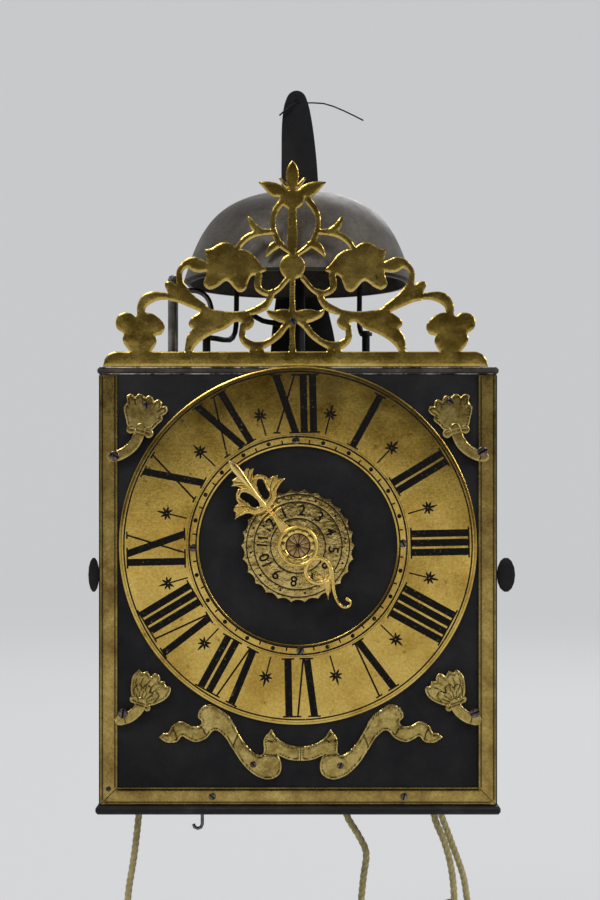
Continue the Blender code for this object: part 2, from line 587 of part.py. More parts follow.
def box(low, high):
    bm = bmesh.new()
    bmesh.ops.create_cube(bm, size=1)
    low = Vector(low)
    high = Vector(high)
    size = high - low
    bmesh.ops.scale(bm, vec=size, verts=bm.verts)
    bmesh.ops.translate(bm, vec=(low + high) / 2, verts=bm.verts)
    return from_bmesh(bm)


def rod(radius, start, end, sides=8):
    """A straight round bar."""
    start = Vector(start)
    end = Vector(end)
    bm = bmesh.new()
    bmesh.ops.create_cone(bm, cap_ends=True, segments=sides, radius1=radius, radius2=radius,
                          depth=(end - start).length)
    turn = Vector((0, 0, 1)).rotation_difference(end - start).to_matrix().to_4x4()
    bmesh.ops.transform(bm, matrix=Matrix.Translation((start + end) / 2) @ turn, verts=bm.verts)
    return from_bmesh(bm)


def ball(radius, centre, rings=8):
    bm = bmesh.new()
    bmesh.ops.create_uvsphere(bm, u_segments=2 * rings, v_segments=rings, radius=radius)
    bmesh.ops.translate(bm, vec=centre, verts=bm.verts)
    return from_bmesh(bm)


def turned(profile, steps=24):
    """A turned shape about Z: the profile runs down its outer side, top to bottom."""
    bm = bmesh.new()
    verts = [bm.verts.new((radius, 0, height)) for radius, height in profile]
    for first, second in zip(verts, verts[1:]):
        bm.edges.new((first, second))
    obj = from_bmesh(bm)
    screw = obj.modifiers.new("turn", "SCREW")
    screw.steps = steps
    screw.render_steps = steps
    screw.use_merge_vertices = True
    screw.merge_threshold = GAP / 100
    return as_mesh(obj)


def turned_along_y(profile, steps=24):
    """A turned shape about Y. The profile's heights count towards the front, as -Y."""
    obj = turned(profile, steps)
    obj.data.transform(Matrix.Rotation(math.pi / 2, 4, "X"))
    return obj


def sheet(outlines, thickness, back_y=0.0):
    """A flat piece in the XZ plane: the first outline is its edge, the others are holes."""
    curve = bpy.data.curves.new("shape", "CURVE")
    curve.dimensions = "2D"
    curve.fill_mode = "BOTH"
    curve.extrude = thickness / 2
    for outline in outlines:
        spline = curve.splines.new("POLY")
        spline.points.add(len(outline) - 1)
        for point, (x, z) in zip(spline.points, outline):
            point.co = (x, z, 0, 1)
        spline.use_cyclic_u = True
    obj = loose(curve)
    obj.rotation_euler = FACING_FRONT
    obj.location = (0, back_y - thickness / 2, 0)
    return settle(as_mesh(obj))


def tube(points, radius, resolution=2):
    """A round wire or rope along the points, with closed ends."""
    curve = bpy.data.curves.new("shape", "CURVE")
    curve.dimensions = "3D"
    curve.bevel_depth = radius
    curve.bevel_resolution = resolution
    curve.use_fill_caps = True
    spline = curve.splines.new("POLY")
    spline.points.add(len(points) - 1)
    for point, place in zip(spline.points, points):
        point.co = (*place, 1)
    return as_mesh(loose(curve))


def smooth_path(points, between):
    """Points on a smooth curve through the given ones."""
    line = [Vector(p) for p in points]
    line = [2 * line[0] - line[1], *line, 2 * line[-1] - line[-2]]
    path = []
    for before, start, end, after in zip(line, line[1:], line[2:], line[3:]):
        for step in range(between):
            t = step / between
            path.append(0.5 * (2 * start + (end - before) * t
                               + (2 * before - 5 * start + 4 * end - after) * t ** 2
                               + (3 * start - before - 3 * end + after) * t ** 3))
    return [*path, line[-2]]


def scaled(shares, size):
    """Percentages as lengths."""
    return [tuple(value * size / 100 for value in point) for point in shares]


def scroll(shares, size, between=2):
    """The outline of a scroll from its middle line and half widths."""
    line, widths = shares
    marked = [(x, z, width) for (x, z), width in zip(line, widths)]
    path = smooth_path(scaled(marked, size), between)
    left = []
    right = []
    for i, here in enumerate(path):
        ahead = path[min(i + 1, len(path) - 1)]
        behind = path[max(i - 1, 0)]
        along = (ahead.xy - behind.xy).normalized()
        side = Vector((-along.y, along.x)) * here.z
        left.append(tuple(here.xy + side))
        right.append(tuple(here.xy - side))
    return left + right[::-1]


def thinned(outline, slack):
    """The outline without the points that bend it by less than the slack."""
    kept = list(outline)
    index = 1
    while index < len(kept) - 1:
        before, here, after = (Vector(p) for p in kept[index - 1:index + 2])
        along = after - before
        off = abs(along.x * (here - before).y - along.y * (here - before).x)
        if along.length > 0 and off / along.length < slack:
            kept.pop(index)
            index += 1
        else:
            index += 1
    return kept


def mirrored(points):
    return [(-x, z) for x, z in reversed(points)]


def circle(radius, sides, x=0.0, z=0.0):
    return [
        (x + radius * math.cos(FULL_TURN * i / sides), z + radius * math.sin(FULL_TURN * i / sides))
        for i in range(sides)
    ]


def gear_outline(teeth, radius, turn=0.0):
    """Plain tapered teeth about a pitch circle, slim enough to run free."""
    pitch = FULL_TURN / teeth
    height = radius * pitch * TOOTH_SHARE
    outline = []
    for i in range(teeth):
        middle = i * pitch + turn
        for share, reach in TOOTH_FLANK_SHARES:
            angle = middle + share * pitch
            length = radius + reach * height
            outline.append((length * math.cos(angle), length * math.sin(angle)))
    return outline


def crossings(inner, outer, arms=4, spoke=0.0036):
    """The open quarters between a wheel's spokes."""
    openings = []
    for arm in range(arms):
        start = FULL_TURN * (arm + CROSSING_TURN_SHARE) / arms
        end = FULL_TURN * (arm + 1 + CROSSING_TURN_SHARE) / arms
        opening = []
        for radius, steps in ((outer, 4), (inner, 2)):
            lean = math.asin(spoke / 2 / radius)
            angles = [start + lean + (end - start - 2 * lean) * i / steps for i in range(steps + 1)]
            ring = [(radius * math.cos(a), radius * math.sin(a)) for a in angles]
            opening += ring if radius == outer else ring[::-1]
        openings.append(opening)
    return openings


def wheel(teeth, radius, plane_y, turn=0.0, thickness=WHEEL_THICKNESS):
    rim = radius * 0.85
    hub = radius * 0.24
    outline = gear_outline(teeth, radius, turn)
    return sheet([outline, *crossings(hub, rim)], thickness, plane_y + thickness / 2)


def pinion(leaves, radius, plane_y, length, turn=0.0):
    return sheet([gear_outline(leaves, radius, turn)], length, plane_y + length / 2)


def arbor(radius, pivot, front_tip, front_shoulder, rear_shoulder, rear_tip):
    """A shaft along Y with thinner pivots."""
    profile = [(0, -front_tip), (pivot, -front_tip), (pivot, -front_shoulder),
               (radius, -front_shoulder), (radius, -rear_shoulder), (pivot, -rear_shoulder),
               (pivot, -rear_tip), (0, -rear_tip)]
    return turned_along_y(profile, 8)


def place(obj, name, look, x=0.0, z=0.0, y=0.0, angle=30):
    """Files a piece whose mesh is about its own axis, and puts it where it turns."""
    obj.location = (x, y, z)
    finish(obj, name, look)
    obj.data.shade_smooth()
    obj.data.set_sharp_from_angle(angle=math.radians(angle))
    return obj


def turn_angle(x, z):
    return math.atan2(z, x)


# Cage
def make_plates():
    over = PLATE_OVERHANG
    top = box((-HALF_WIDTH - over, FRONT_Y, TOP_UNDERSIDE),
              (HALF_WIDTH + over, REAR_Y + over, CAGE_HEIGHT))
    rounded(top, PLATE_ROUNDING)
    lugs = []
    for side in (-1, 1):
        middle = ALARM_Y + side * ALARM_LUG_SPREAD
        lugs.append(box((ALARM_X - ALARM_LUG_WIDTH / 2, middle - ALARM_LUG_THICKNESS / 2,
                         ALARM_HEIGHT - ALARM_LUG_WIDTH / 2),
                        (ALARM_X + ALARM_LUG_WIDTH / 2, middle + ALARM_LUG_THICKNESS / 2,
                         TOP_UNDERSIDE + RUN_ON)))
    shelf_top = ALARM_TAIL_HEIGHT - HAMMER_COLLAR_RADIUS
    shelf_low = shelf_top - ALARM_LUG_THICKNESS
    half = ALARM_LUG_WIDTH / 2
    leg_y = ALARM_HAMMER_Y + half
    lugs.append(box((ALARM_HAMMER_X - half, ALARM_HAMMER_Y - half, shelf_low),
                    (ALARM_HAMMER_X + half, leg_y + RUN_ON, shelf_top)))
    lugs.append(box((ALARM_HAMMER_X - half, leg_y, shelf_low),
                    (ALARM_HAMMER_X + half, leg_y + ALARM_LUG_THICKNESS, TOP_UNDERSIDE + RUN_ON)))
    top = joined(as_mesh(top), lugs)
    holes = [upright_hole(x, y, HAMMER_ARBOR_RADIUS + PIVOT_PLAY, shelf_low, CAGE_HEIGHT)
             for x, y in ((STRIKE_HAMMER_X, STRIKE_HAMMER_Y), (ALARM_HAMMER_X, ALARM_HAMMER_Y))]
    holes += [upright_hole(side * DOOR_PIN_X, DOOR_PIN_Y, DOOR_PIN_RADIUS + PIVOT_PLAY,
                           TOP_UNDERSIDE, CAGE_HEIGHT) for side in (-1, 1)]
    for side in (-1, 1):
        middle = ALARM_Y + side * ALARM_LUG_SPREAD
        holes.append(rod(PIVOT_RADIUS + PIVOT_PLAY, (ALARM_X, middle - ALARM_LUG_THICKNESS, ALARM_HEIGHT),
                         (ALARM_X, middle + ALARM_LUG_THICKNESS, ALARM_HEIGHT)))
    finish(without(top, holes), "top_plate", IRON)

    over = BOTTOM_OVERHANG
    bottom = box((-HALF_WIDTH - over, FRONT_Y - BOTTOM_LIP, 0),
                 (HALF_WIDTH + over, REAR_Y + PLATE_OVERHANG, BOTTOM_THICKNESS))
    rounded(bottom, PLATE_ROUNDING)
    holes = [upright_hole(side * DOOR_PIN_X, DOOR_PIN_Y, DOOR_PIN_RADIUS + PIVOT_PLAY,
                          0, BOTTOM_THICKNESS) for side in (-1, 1)]
    for route in (STRIKE_FREE_ROUTE, GOING_FREE_ROUTE, GOING_SLACK_ROUTE, ALARM_FREE_ROUTE):
        x, y, _ = route[0]
        holes.append(upright_hole(x, y, ROPE_HOLE_RADIUS, 0, BOTTOM_THICKNESS))
    holes.append(upright_hole(PULL_X, PULL_Y, PULL_WIRE_RADIUS + PULL_PLAY, 0, BOTTOM_THICKNESS))
    finish(without(as_mesh(bottom), holes), "bottom_plate", IRON)


def rounded(obj, width, segments=1):
    bevel = obj.modifiers.new("round", "BEVEL")
    bevel.width = width
    bevel.segments = segments
    bevel.limit_method = "ANGLE"
    return obj


def upright_hole(x, y, radius, low, high):
    return rod(radius, (x, y, low - RUN_ON), (x, y, high + RUN_ON))


def make_posts():
    front_y = FRONT_Y + FRONT_THICKNESS + GAP + POST_SIDE / 2
    rear_y = REAR_Y - REAR_POST_INSET - POST_SIDE / 2
    post_x = HALF_WIDTH - SHEET_THICKNESS - DOOR_TRAVEL_GAP - POST_SIDE / 2
    for end, y in (("front", front_y), ("rear", rear_y)):
        for side_name, side in (("left", -1), ("right", 1)):
            half = POST_SIDE / 2
            x = side * post_x
            post = box((x - half, y - half, STANDING_LOW), (x + half, y + half, STANDING_HIGH))
            rounded(post, POST_CHAMFER)
            finish(post, f"post_{end}_{side_name}", IRON)


def make_sheets():
    half = HALF_WIDTH - FRONT_PLATE_MARGIN
    front = box((-half, FRONT_Y, STANDING_LOW), (half, FRONT_Y + FRONT_THICKNESS, STANDING_HIGH))
    hole = rod(DIAL_HOLE_RADIUS, (0, FRONT_Y - RUN_ON, DIAL_HEIGHT),
               (0, FRONT_Y + FRONT_THICKNESS + RUN_ON, DIAL_HEIGHT), 24)
    finish(without(front, [hole]), "front_plate", IRON)
    rear = REAR_Y + PLATE_OVERHANG - SHEET_THICKNESS
    back = box((-half, rear, STANDING_LOW), (half, rear + SHEET_THICKNESS, STANDING_HIGH))
    finish(back, "back_plate", IRON)


def make_door(side_name, side, thumb_width):
    """A side door that hangs on two pins of its own, and its thumb plate."""
    outer = HALF_WIDTH - FRONT_PLATE_MARGIN / 2
    inner = outer - SHEET_THICKNESS
    x_low, x_high = sorted((side * inner, side * outer))
    front = FRONT_Y + FRONT_THICKNESS + GAP
    leaf = box((x_low, front, STANDING_LOW + GAP),
               (x_high, DOOR_PIN_Y + DOOR_PIN_RADIUS / 2, STANDING_HIGH - GAP))
    pin = rod(DOOR_PIN_RADIUS, (side * DOOR_PIN_X, DOOR_PIN_Y, BOTTOM_THICKNESS - DOOR_PIN_DEPTH),
              (side * DOOR_PIN_X, DOOR_PIN_Y, TOP_UNDERSIDE + DOOR_PIN_DEPTH))
    door = joined(leaf, [pin])
    pivot = Vector((side * DOOR_PIN_X, DOOR_PIN_Y, 0))
    moved(door, -pivot)
    door.location = pivot
    finish(door, f"{side_name}_door", IRON)

    low = outer + GAP
    middle = low + thumb_width / 2
    outline = [(max(low, middle + x * thumb_width / THUMB_HEIGHT), z)
               for x, z in circle(THUMB_HEIGHT / 2, 14, 0, THUMB_MIDDLE_HEIGHT)]
    back_y = front + THUMB_FROM_FRONT + THUMB_THICKNESS
    thumb = sheet([[(side * x, z) for x, z in outline]], THUMB_THICKNESS, back_y)
    moved(thumb, -pivot)
    thumb.location = pivot
    finish(thumb, f"{side_name}_thumb_plate", IRON)


# Dial and trim
def make_dial():
    inner = DIAL_OPENING_RADIUS
    outer = DIAL_RADIUS
    back = -TRIM_BACK_Y
    rim = back + DIAL_THICKNESS
    crown = rim + DIAL_DOME
    quarter = (outer - inner) / 4
    profile = [(inner, rim), (outer - 2 * quarter, crown), (outer, rim), (outer, back),
               (inner, back), (inner, rim)]
    ring = turned_along_y(profile, 48)
    place(ring, "dial_ring", BRASS, z=DIAL_HEIGHT)


def make_borders():
    outer = HALF_WIDTH - FRONT_PLATE_MARGIN - BORDER_INSET
    inner = outer - BORDER_WIDTH
    low = STANDING_LOW + GAP
    step = low + BORDER_WIDTH
    high = STANDING_HIGH - GAP
    slack = GAP / 2
    left = [(-outer, high), (-outer, low + slack), (-inner, step + slack), (-inner, high)]
    finish(sheet([left], BORDER_THICKNESS, TRIM_BACK_Y), "border_left", BRASS)
    finish(sheet([mirrored(left)], BORDER_THICKNESS, TRIM_BACK_Y), "border_right", BRASS)
    bottom = [(-outer + 2 * slack, low), (-inner + slack, step - slack),
              (inner - slack, step - slack), (outer - 2 * slack, low)]
    finish(sheet([bottom], BORDER_THICKNESS, TRIM_BACK_Y), "border_bottom", BRASS)


def corner_ornament(name, corner_z, shape, stem, collar, side):
    """A cast flower or shell, its collar and its stem, which laps over the border strip."""
    corner_x = -HALF_WIDTH

    def at_corner(points):
        placed = [(corner_x + x, corner_z + z) for x, z in points]
        return placed if side < 0 else mirrored(placed)

    back = TRIM_BACK_Y
    step = CAST_RELIEF
    head = sheet([at_corner(scaled(shape, ORNAMENT_REACH))], TRIM_THICKNESS, back)
    others = [
        sheet([at_corner(scroll(stem, ORNAMENT_REACH))], TRIM_THICKNESS + GAP - step, back - step),
        sheet([at_corner(scroll(collar, ORNAMENT_REACH, 1))], COLLAR_THICKNESS - 2 * step,
              back - 2 * step),
    ]
    body = joined(head, others)
    strip_edge = HALF_WIDTH - FRONT_PLATE_MARGIN - BORDER_INSET - BORDER_WIDTH - GAP
    x_low, x_high = sorted((side * strip_edge, side * HALF_WIDTH))
    lap = box((x_low, BORDER_FRONT_Y - GAP, 0), (x_high, FRONT_Y + RUN_ON, CAGE_HEIGHT))
    finish(without(body, [lap]), name, BRASS)


def make_ornaments():
    for side_name, side in (("left", -1), ("right", 1)):
        corner_ornament(f"shell_top_{side_name}", STANDING_HIGH, SHELL_SHARES,
                        SHELL_STEM_SHARES, SHELL_COLLAR_SHARES, side)
        corner_ornament(f"flower_bottom_{side_name}", STANDING_LOW, FLOWER_SHARES,
                        FLOWER_STEM_SHARES, FLOWER_COLLAR_SHARES, side)


def make_ribbons():
    joint = RIBBON_JOINT_X
    half_gap = RIBBON_JOINT_GAP / 2
    left = [(min(x + joint, joint - half_gap), z) for x, z in scaled(RIBBON_SHARES, RIBBON_SPAN)]
    right = [(2 * joint - x, z) for x, z in reversed(left)]
    for side_name, outline in (("left", left), ("right", right)):
        finish(sheet([outline], RIBBON_THICKNESS, TRIM_BACK_Y), f"ribbon_{side_name}", BRASS)


def make_crest():
    size = CREST_HALF_WIDTH
    outlines = [scaled(shares, size) for shares in (
        CREST_FLOWER_SHARES, CREST_CALYX_SHARES, CREST_LEAF_SHARES, CREST_RUNNER_SHARES,
        CREST_FOOT_SHARES, CREST_ARM_SHARES, CREST_LILY_SHARES, CREST_STEM_SHARES)]
    outlines += [scroll(shares, size, 1) for shares in CREST_SCROLL_SHARES]
    rosette_z = CREST_ROSETTE_HEIGHT_SHARE * size / 100
    outlines.append(circle(CREST_ROSETTE_SHARE * size / 100, 12, 0, rosette_z))
    base = sheet([scaled(CREST_BASE_SHARES, size)], CREST_THICKNESS)
    layers = []
    for index, outline in enumerate(outlines, 1):
        relief = CAST_RELIEF / 2 * index
        layers.append(sheet([thinned(outline, OUTLINE_SLACK)], CREST_THICKNESS + 2 * relief, relief))
    half = joined(base, layers)
    bm = bmesh.new()
    bm.from_mesh(half.data)
    everything = list(bm.verts) + list(bm.edges) + list(bm.faces)
    bmesh.ops.bisect_plane(bm, geom=everything, plane_co=(0, 0, 0), plane_no=(1, 0, 0),
                           clear_outer=True, dist=GAP / 100)
    bm.to_mesh(half.data)
    bm.free()
    mirror = half.modifiers.new("mirror", "MIRROR")
    mirror.merge_threshold = GAP / 10
    whole = as_mesh(half)
    foot_x = size * (1 + CREST_BASE_SHARES[0][0] / 100)
    reach = size - 2 * foot_x
    foot = box((-reach, -RUN_ON, 0), (reach, CREST_FOOT_DEPTH, CREST_FOOT_HEIGHT))
    whole = joined(whole, [foot])
    moved(whole, (CREST_SIDE_SHIFT, FRONT_Y + CREST_SETBACK + CREST_THICKNESS, CAGE_HEIGHT + GAP))
    finish(whole, "crest", BRASS)


# Bell, strap and hammers
def over_top(places):
    """The places with their heights counted from the floor instead of the top plate."""
    return [(x, y, CAGE_HEIGHT + z) for x, y, z in places]


def make_bell():
    wall = BELL_WALL
    outer = [(BELL_RADIUS * r / 100, BELL_HEIGHT * h / 100) for r, h in BELL_SHARES]
    inner = [(max(r - wall * r / BELL_RADIUS, BELL_HOLE_RADIUS), h - wall * (h / BELL_HEIGHT))
             for r, h in outer]
    profile = [(BELL_HOLE_RADIUS, BELL_HEIGHT), *outer, *inner[::-1],
               (BELL_HOLE_RADIUS, BELL_HEIGHT - wall), (BELL_HOLE_RADIUS, BELL_HEIGHT)]
    bell = turned(profile, 26)
    bell.location = (0, 0, BELL_RIM_HEIGHT)
    finish(bell, "bell", BELL_METAL)
    bell.data.shade_smooth()
    bell.data.set_sharp_from_angle(angle=math.radians(40))

    low = CAGE_HEIGHT + GAP
    seat = BELL_TOP_HEIGHT - wall - GAP
    tip = BELL_TOP_HEIGHT + STAND_THREAD_LENGTH
    stand = turned([(0, tip), (STAND_THREAD_RADIUS, tip), (STAND_THREAD_RADIUS, seat),
                    (STAND_RADIUS, seat), (STAND_RADIUS, low + STAND_FOOT_HEIGHT),
                    (STAND_FOOT_RADIUS, low + STAND_FOOT_HEIGHT / 2), (STAND_FOOT_RADIUS, low),
                    (0, low)], 10)
    spring = tube(smooth_path(over_top(STAND_SPRING_PLACES), 2), HAMMER_WIRE_RADIUS, 1)
    finish(joined(stand, [spring]), "bell_stand", IRON)

    low = BELL_TOP_HEIGHT + GAP
    half = BELL_NUT_SIDE / 2
    nut = box((-half, -half, low), (half, half, low + BELL_NUT_HEIGHT))
    hole = upright_hole(0, 0, STAND_THREAD_RADIUS + GAP, low, low + BELL_NUT_HEIGHT)
    finish(without(nut, [hole]), "bell_nut", STEEL)


def make_strap():
    half = STRAP_HALF_WIDTH
    outline = [(half * x / 100, STRAP_FOOT_HEIGHT + (STRAP_TOP_HEIGHT - STRAP_FOOT_HEIGHT) * z / 100)
               for x, z in STRAP_SHARES]
    hole_z = STRAP_TOP_HEIGHT - STRAP_HOLE_DROP
    hole = circle(STRAP_HOLE_RADIUS, 12, STRAP_TIP_X, hole_z)
    front = REAR_Y + PLATE_OVERHANG + GAP
    finish(sheet([outline, hole], STRAP_THICKNESS, front + STRAP_THICKNESS), "hanging_strap", IRON)
    wire = [(STRAP_TIP_X + half * x / 100, front + STRAP_THICKNESS * y / 100, hole_z + half * z / 100)
            for x, y, z in WIRE_SHARES]
    finish(tube(smooth_path(wire, 2), WIRE_RADIUS, 1), "hanging_wire", IRON)


def hammer(name, x, y, low, collar, path, head_at, head_radius, head_length, tail):
    """An upright arbor, its arm and head over the plate and its tail below."""
    shaft = rod(HAMMER_ARBOR_RADIUS, (x, y, low), (x, y, collar + HAMMER_COLLAR_HEIGHT))
    ring = rod(HAMMER_COLLAR_RADIUS, (x, y, collar - HAMMER_COLLAR_HEIGHT / 2),
               (x, y, collar + HAMMER_COLLAR_HEIGHT / 2), 12)
    arm = tube(smooth_path(path, 2), HAMMER_WIRE_RADIUS, 1)
    head_at = Vector(head_at)
    outward = Vector((head_at.x, head_at.y, 0)).normalized()
    head = rod(head_radius, head_at - outward * head_length / 2, head_at + outward * head_length / 2)
    foot = tube(tail, HAMMER_WIRE_RADIUS * HAMMER_TAIL_SHARE, 1)
    body = joined(shaft, [ring, arm, head, foot])
    moved(body, (-x, -y, 0))
    body.location = (x, y, 0)
    finish(body, name, IRON)


def make_hammers():
    x, y = STRIKE_HAMMER_X, STRIKE_HAMMER_Y
    head = Vector(over_top([STRIKE_HEAD_PLACE])[0])
    path = [(x, y, STRIKE_COLLAR_HEIGHT), *over_top(STRIKE_ARM_PLACES), head]
    tail = [(x, y, STRIKE_TAIL_HEIGHT), (*STRIKE_TAIL_PLACE, STRIKE_TAIL_HEIGHT)]
    hammer("strike_hammer", x, y, STRIKE_BEARING_HEIGHT + GAP - BAR_THICKNESS / 2,
           STRIKE_COLLAR_HEIGHT, path, head, HAMMER_HEAD_RADIUS, HAMMER_HEAD_LENGTH, tail)
    x, y = ALARM_HAMMER_X, ALARM_HAMMER_Y
    head = Vector(over_top([ALARM_HEAD_PLACE])[0])
    path = [(x, y, ALARM_COLLAR_HEIGHT), *over_top(ALARM_ARM_PLACES), head]
    tail = [(x, y, ALARM_TAIL_HEIGHT), (ALARM_X, y, ALARM_TAIL_HEIGHT),
            (ALARM_X, y, ALARM_HEIGHT + ALARM_WHEEL_RADIUS + RUN_ON)]
    low = ALARM_TAIL_HEIGHT - HAMMER_COLLAR_RADIUS - ALARM_LUG_THICKNESS + GAP
    hammer("alarm_hammer", x, y, low, ALARM_COLLAR_HEIGHT, path, head,
           HAMMER_HEAD_RADIUS * ALARM_HEAD_SHARE, HAMMER_HEAD_LENGTH * ALARM_HEAD_SHARE, tail)
    low = CAGE_HEIGHT + GAP
    post = rod(STOP_RADIUS, (STOP_X, STOP_Y, low), (STOP_X, STOP_Y, STOP_HEIGHT), 12)
    cap = ball(STOP_RADIUS * STOP_CAP_SHARE, (STOP_X, STOP_Y, STOP_HEIGHT), 4)
    arc = tube(smooth_path(over_top(STOP_ARC_PLACES), 2), HAMMER_WIRE_RADIUS, 1)
    finish(joined(post, [cap, arc]), "hammer_stop", STEEL)


# Bars that carry the arbors
def make_bar(name, x, y, width, pivots, arms=()):
    half = width / 2
    depth = BAR_THICKNESS / 2
    bar = box((x - half, y - depth, STANDING_LOW), (x + half, y + depth, STANDING_HIGH))
    if arms:
        bar = joined(bar, [arm for arm, _ in arms])
    cutters = [rod(radius + PIVOT_PLAY, (x, y - BAR_THICKNESS, z), (x, y + BAR_THICKNESS, z))
               for z, radius in pivots]
    cutters += [hole for _, hole in arms]
    finish(without(bar, cutters), name, IRON)


def make_bars():
    going = [(GOING_GREAT_HEIGHT, GREAT_PIVOT_RADIUS), (SECOND_HEIGHT, PIVOT_RADIUS),
             (CONTRATE_HEIGHT, PIVOT_RADIUS), (VERGE_HEIGHT, VERGE_RADIUS)]
    strike = [(STRIKE_GREAT_HEIGHT, GREAT_PIVOT_RADIUS), (PIN_WHEEL_HEIGHT, PIVOT_RADIUS),
              (FLY_HEIGHT, PIVOT_RADIUS)]
    rear_face = REAR_BAR_Y - BAR_THICKNESS / 2 + RUN_ON
    arms = []
    for low in (LOWER_POTENCE, UPPER_POTENCE):
        high = low + POTENCE_THICKNESS
        arm = box((GOING_X - POTENCE_WIDTH / 2, POTENCE_FRONT_Y, low),
                  (GOING_X + POTENCE_WIDTH / 2, rear_face, high))
        radius = CROWN_ARBOR_RADIUS + PIVOT_PLAY
        arms.append((arm, upright_hole(GOING_X, CROWN_Y, radius, low, high)))
    low = STRIKE_BEARING_HEIGHT - POTENCE_THICKNESS
    half = POTENCE_WIDTH / 2
    bracket = box((STRIKE_X + BAR_WIDTH / 2 - half, STRIKE_HAMMER_Y - half, low),
                  (STRIKE_HAMMER_X + half, rear_face, STRIKE_BEARING_HEIGHT))
    radius = HAMMER_ARBOR_RADIUS + PIVOT_PLAY
    bearing = (bracket, upright_hole(STRIKE_HAMMER_X, STRIKE_HAMMER_Y, radius, low,
                                     STRIKE_BEARING_HEIGHT))
    make_bar("going_front_bar", GOING_X, FRONT_BAR_Y, BAR_WIDTH, going)
    make_bar("going_rear_bar", GOING_X, REAR_BAR_Y, BAR_WIDTH, going, arms)
    make_bar("strike_front_bar", STRIKE_X, FRONT_BAR_Y, BAR_WIDTH, strike)
    make_bar("strike_rear_bar", STRIKE_X, REAR_BAR_Y, BAR_WIDTH, strike, [bearing])
    make_bar("centre_bar", 0, FRONT_BAR_Y, CENTRE_BAR_WIDTH, [(DIAL_HEIGHT, HOUR_ARBOR_RADIUS)])


# Wheels
FRONT_SHOULDER = FRONT_BAR_Y + BAR_THICKNESS / 2 + GAP
REAR_SHOULDER = REAR_BAR_Y - BAR_THICKNESS / 2 - GAP
FRONT_TIP = FRONT_BAR_Y - BAR_THICKNESS / 2 - GAP
REAR_TIP = REAR_BAR_Y + BAR_THICKNESS / 2 + GAP
UP = math.pi / 2


def gap_facing(direction, leaves):
    """The turn that puts a gap between two teeth towards a direction."""
    return direction + math.pi / leaves


def make_great_wheel(name, x, z, front_tip, extra):
    arbor_shape = arbor(GREAT_ARBOR_RADIUS, GREAT_PIVOT_RADIUS, front_tip, FRONT_SHOULDER,
                        REAR_SHOULDER, REAR_TIP)
    shape = wheel(GREAT_TEETH, GREAT_RADIUS, GREAT_PLANE_Y, UP)
    place(joined(shape, [arbor_shape, *extra]), name, BRASS, x, z)


def make_pulley(name, x, z):
    groove = PULLEY_ROPE_RADIUS - ROPE_RADIUS - GAP
    flange = groove + PULLEY_FLANGE
    half = PULLEY_WIDTH / 2
    hub_front = GREAT_PLANE_Y + WHEEL_THICKNESS / 2 + GAP
    middle = PULLEY_CENTRE_Y
    bore = GREAT_ARBOR_RADIUS + PULLEY_BORE_PLAY
    hub = bore * 2.2
    floor_half = ROPE_RADIUS + 2 * GAP
    profile = [(bore, -hub_front), (hub, -hub_front), (hub, -(middle - half)),
               (flange, -(middle - half)), (groove, -(middle - floor_half)),
               (groove, -(middle + floor_half)), (flange, -(middle + half)),
               (bore, -(middle + half)), (bore, -hub_front)]
    body = turned_along_y(profile, 18)
    teeth = []
    for i in range(RATCHET_TEETH):
        start = FULL_TURN * i / RATCHET_TEETH
        end = FULL_TURN * (i + RATCHET_TIP_SHARE) / RATCHET_TEETH
        teeth.append((RATCHET_RADIUS * math.cos(start), RATCHET_RADIUS * math.sin(start)))
        low = RATCHET_RADIUS - RATCHET_TOOTH
        teeth.append((low * math.cos(end), low * math.sin(end)))
    hole = circle(hub - RUN_ON, 16)
    ratchet = sheet([teeth, hole], RATCHET_THICKNESS, hub_front + RUN_ON + RATCHET_THICKNESS)
    place(joined(body, [ratchet]), name, BRASS, x, z)


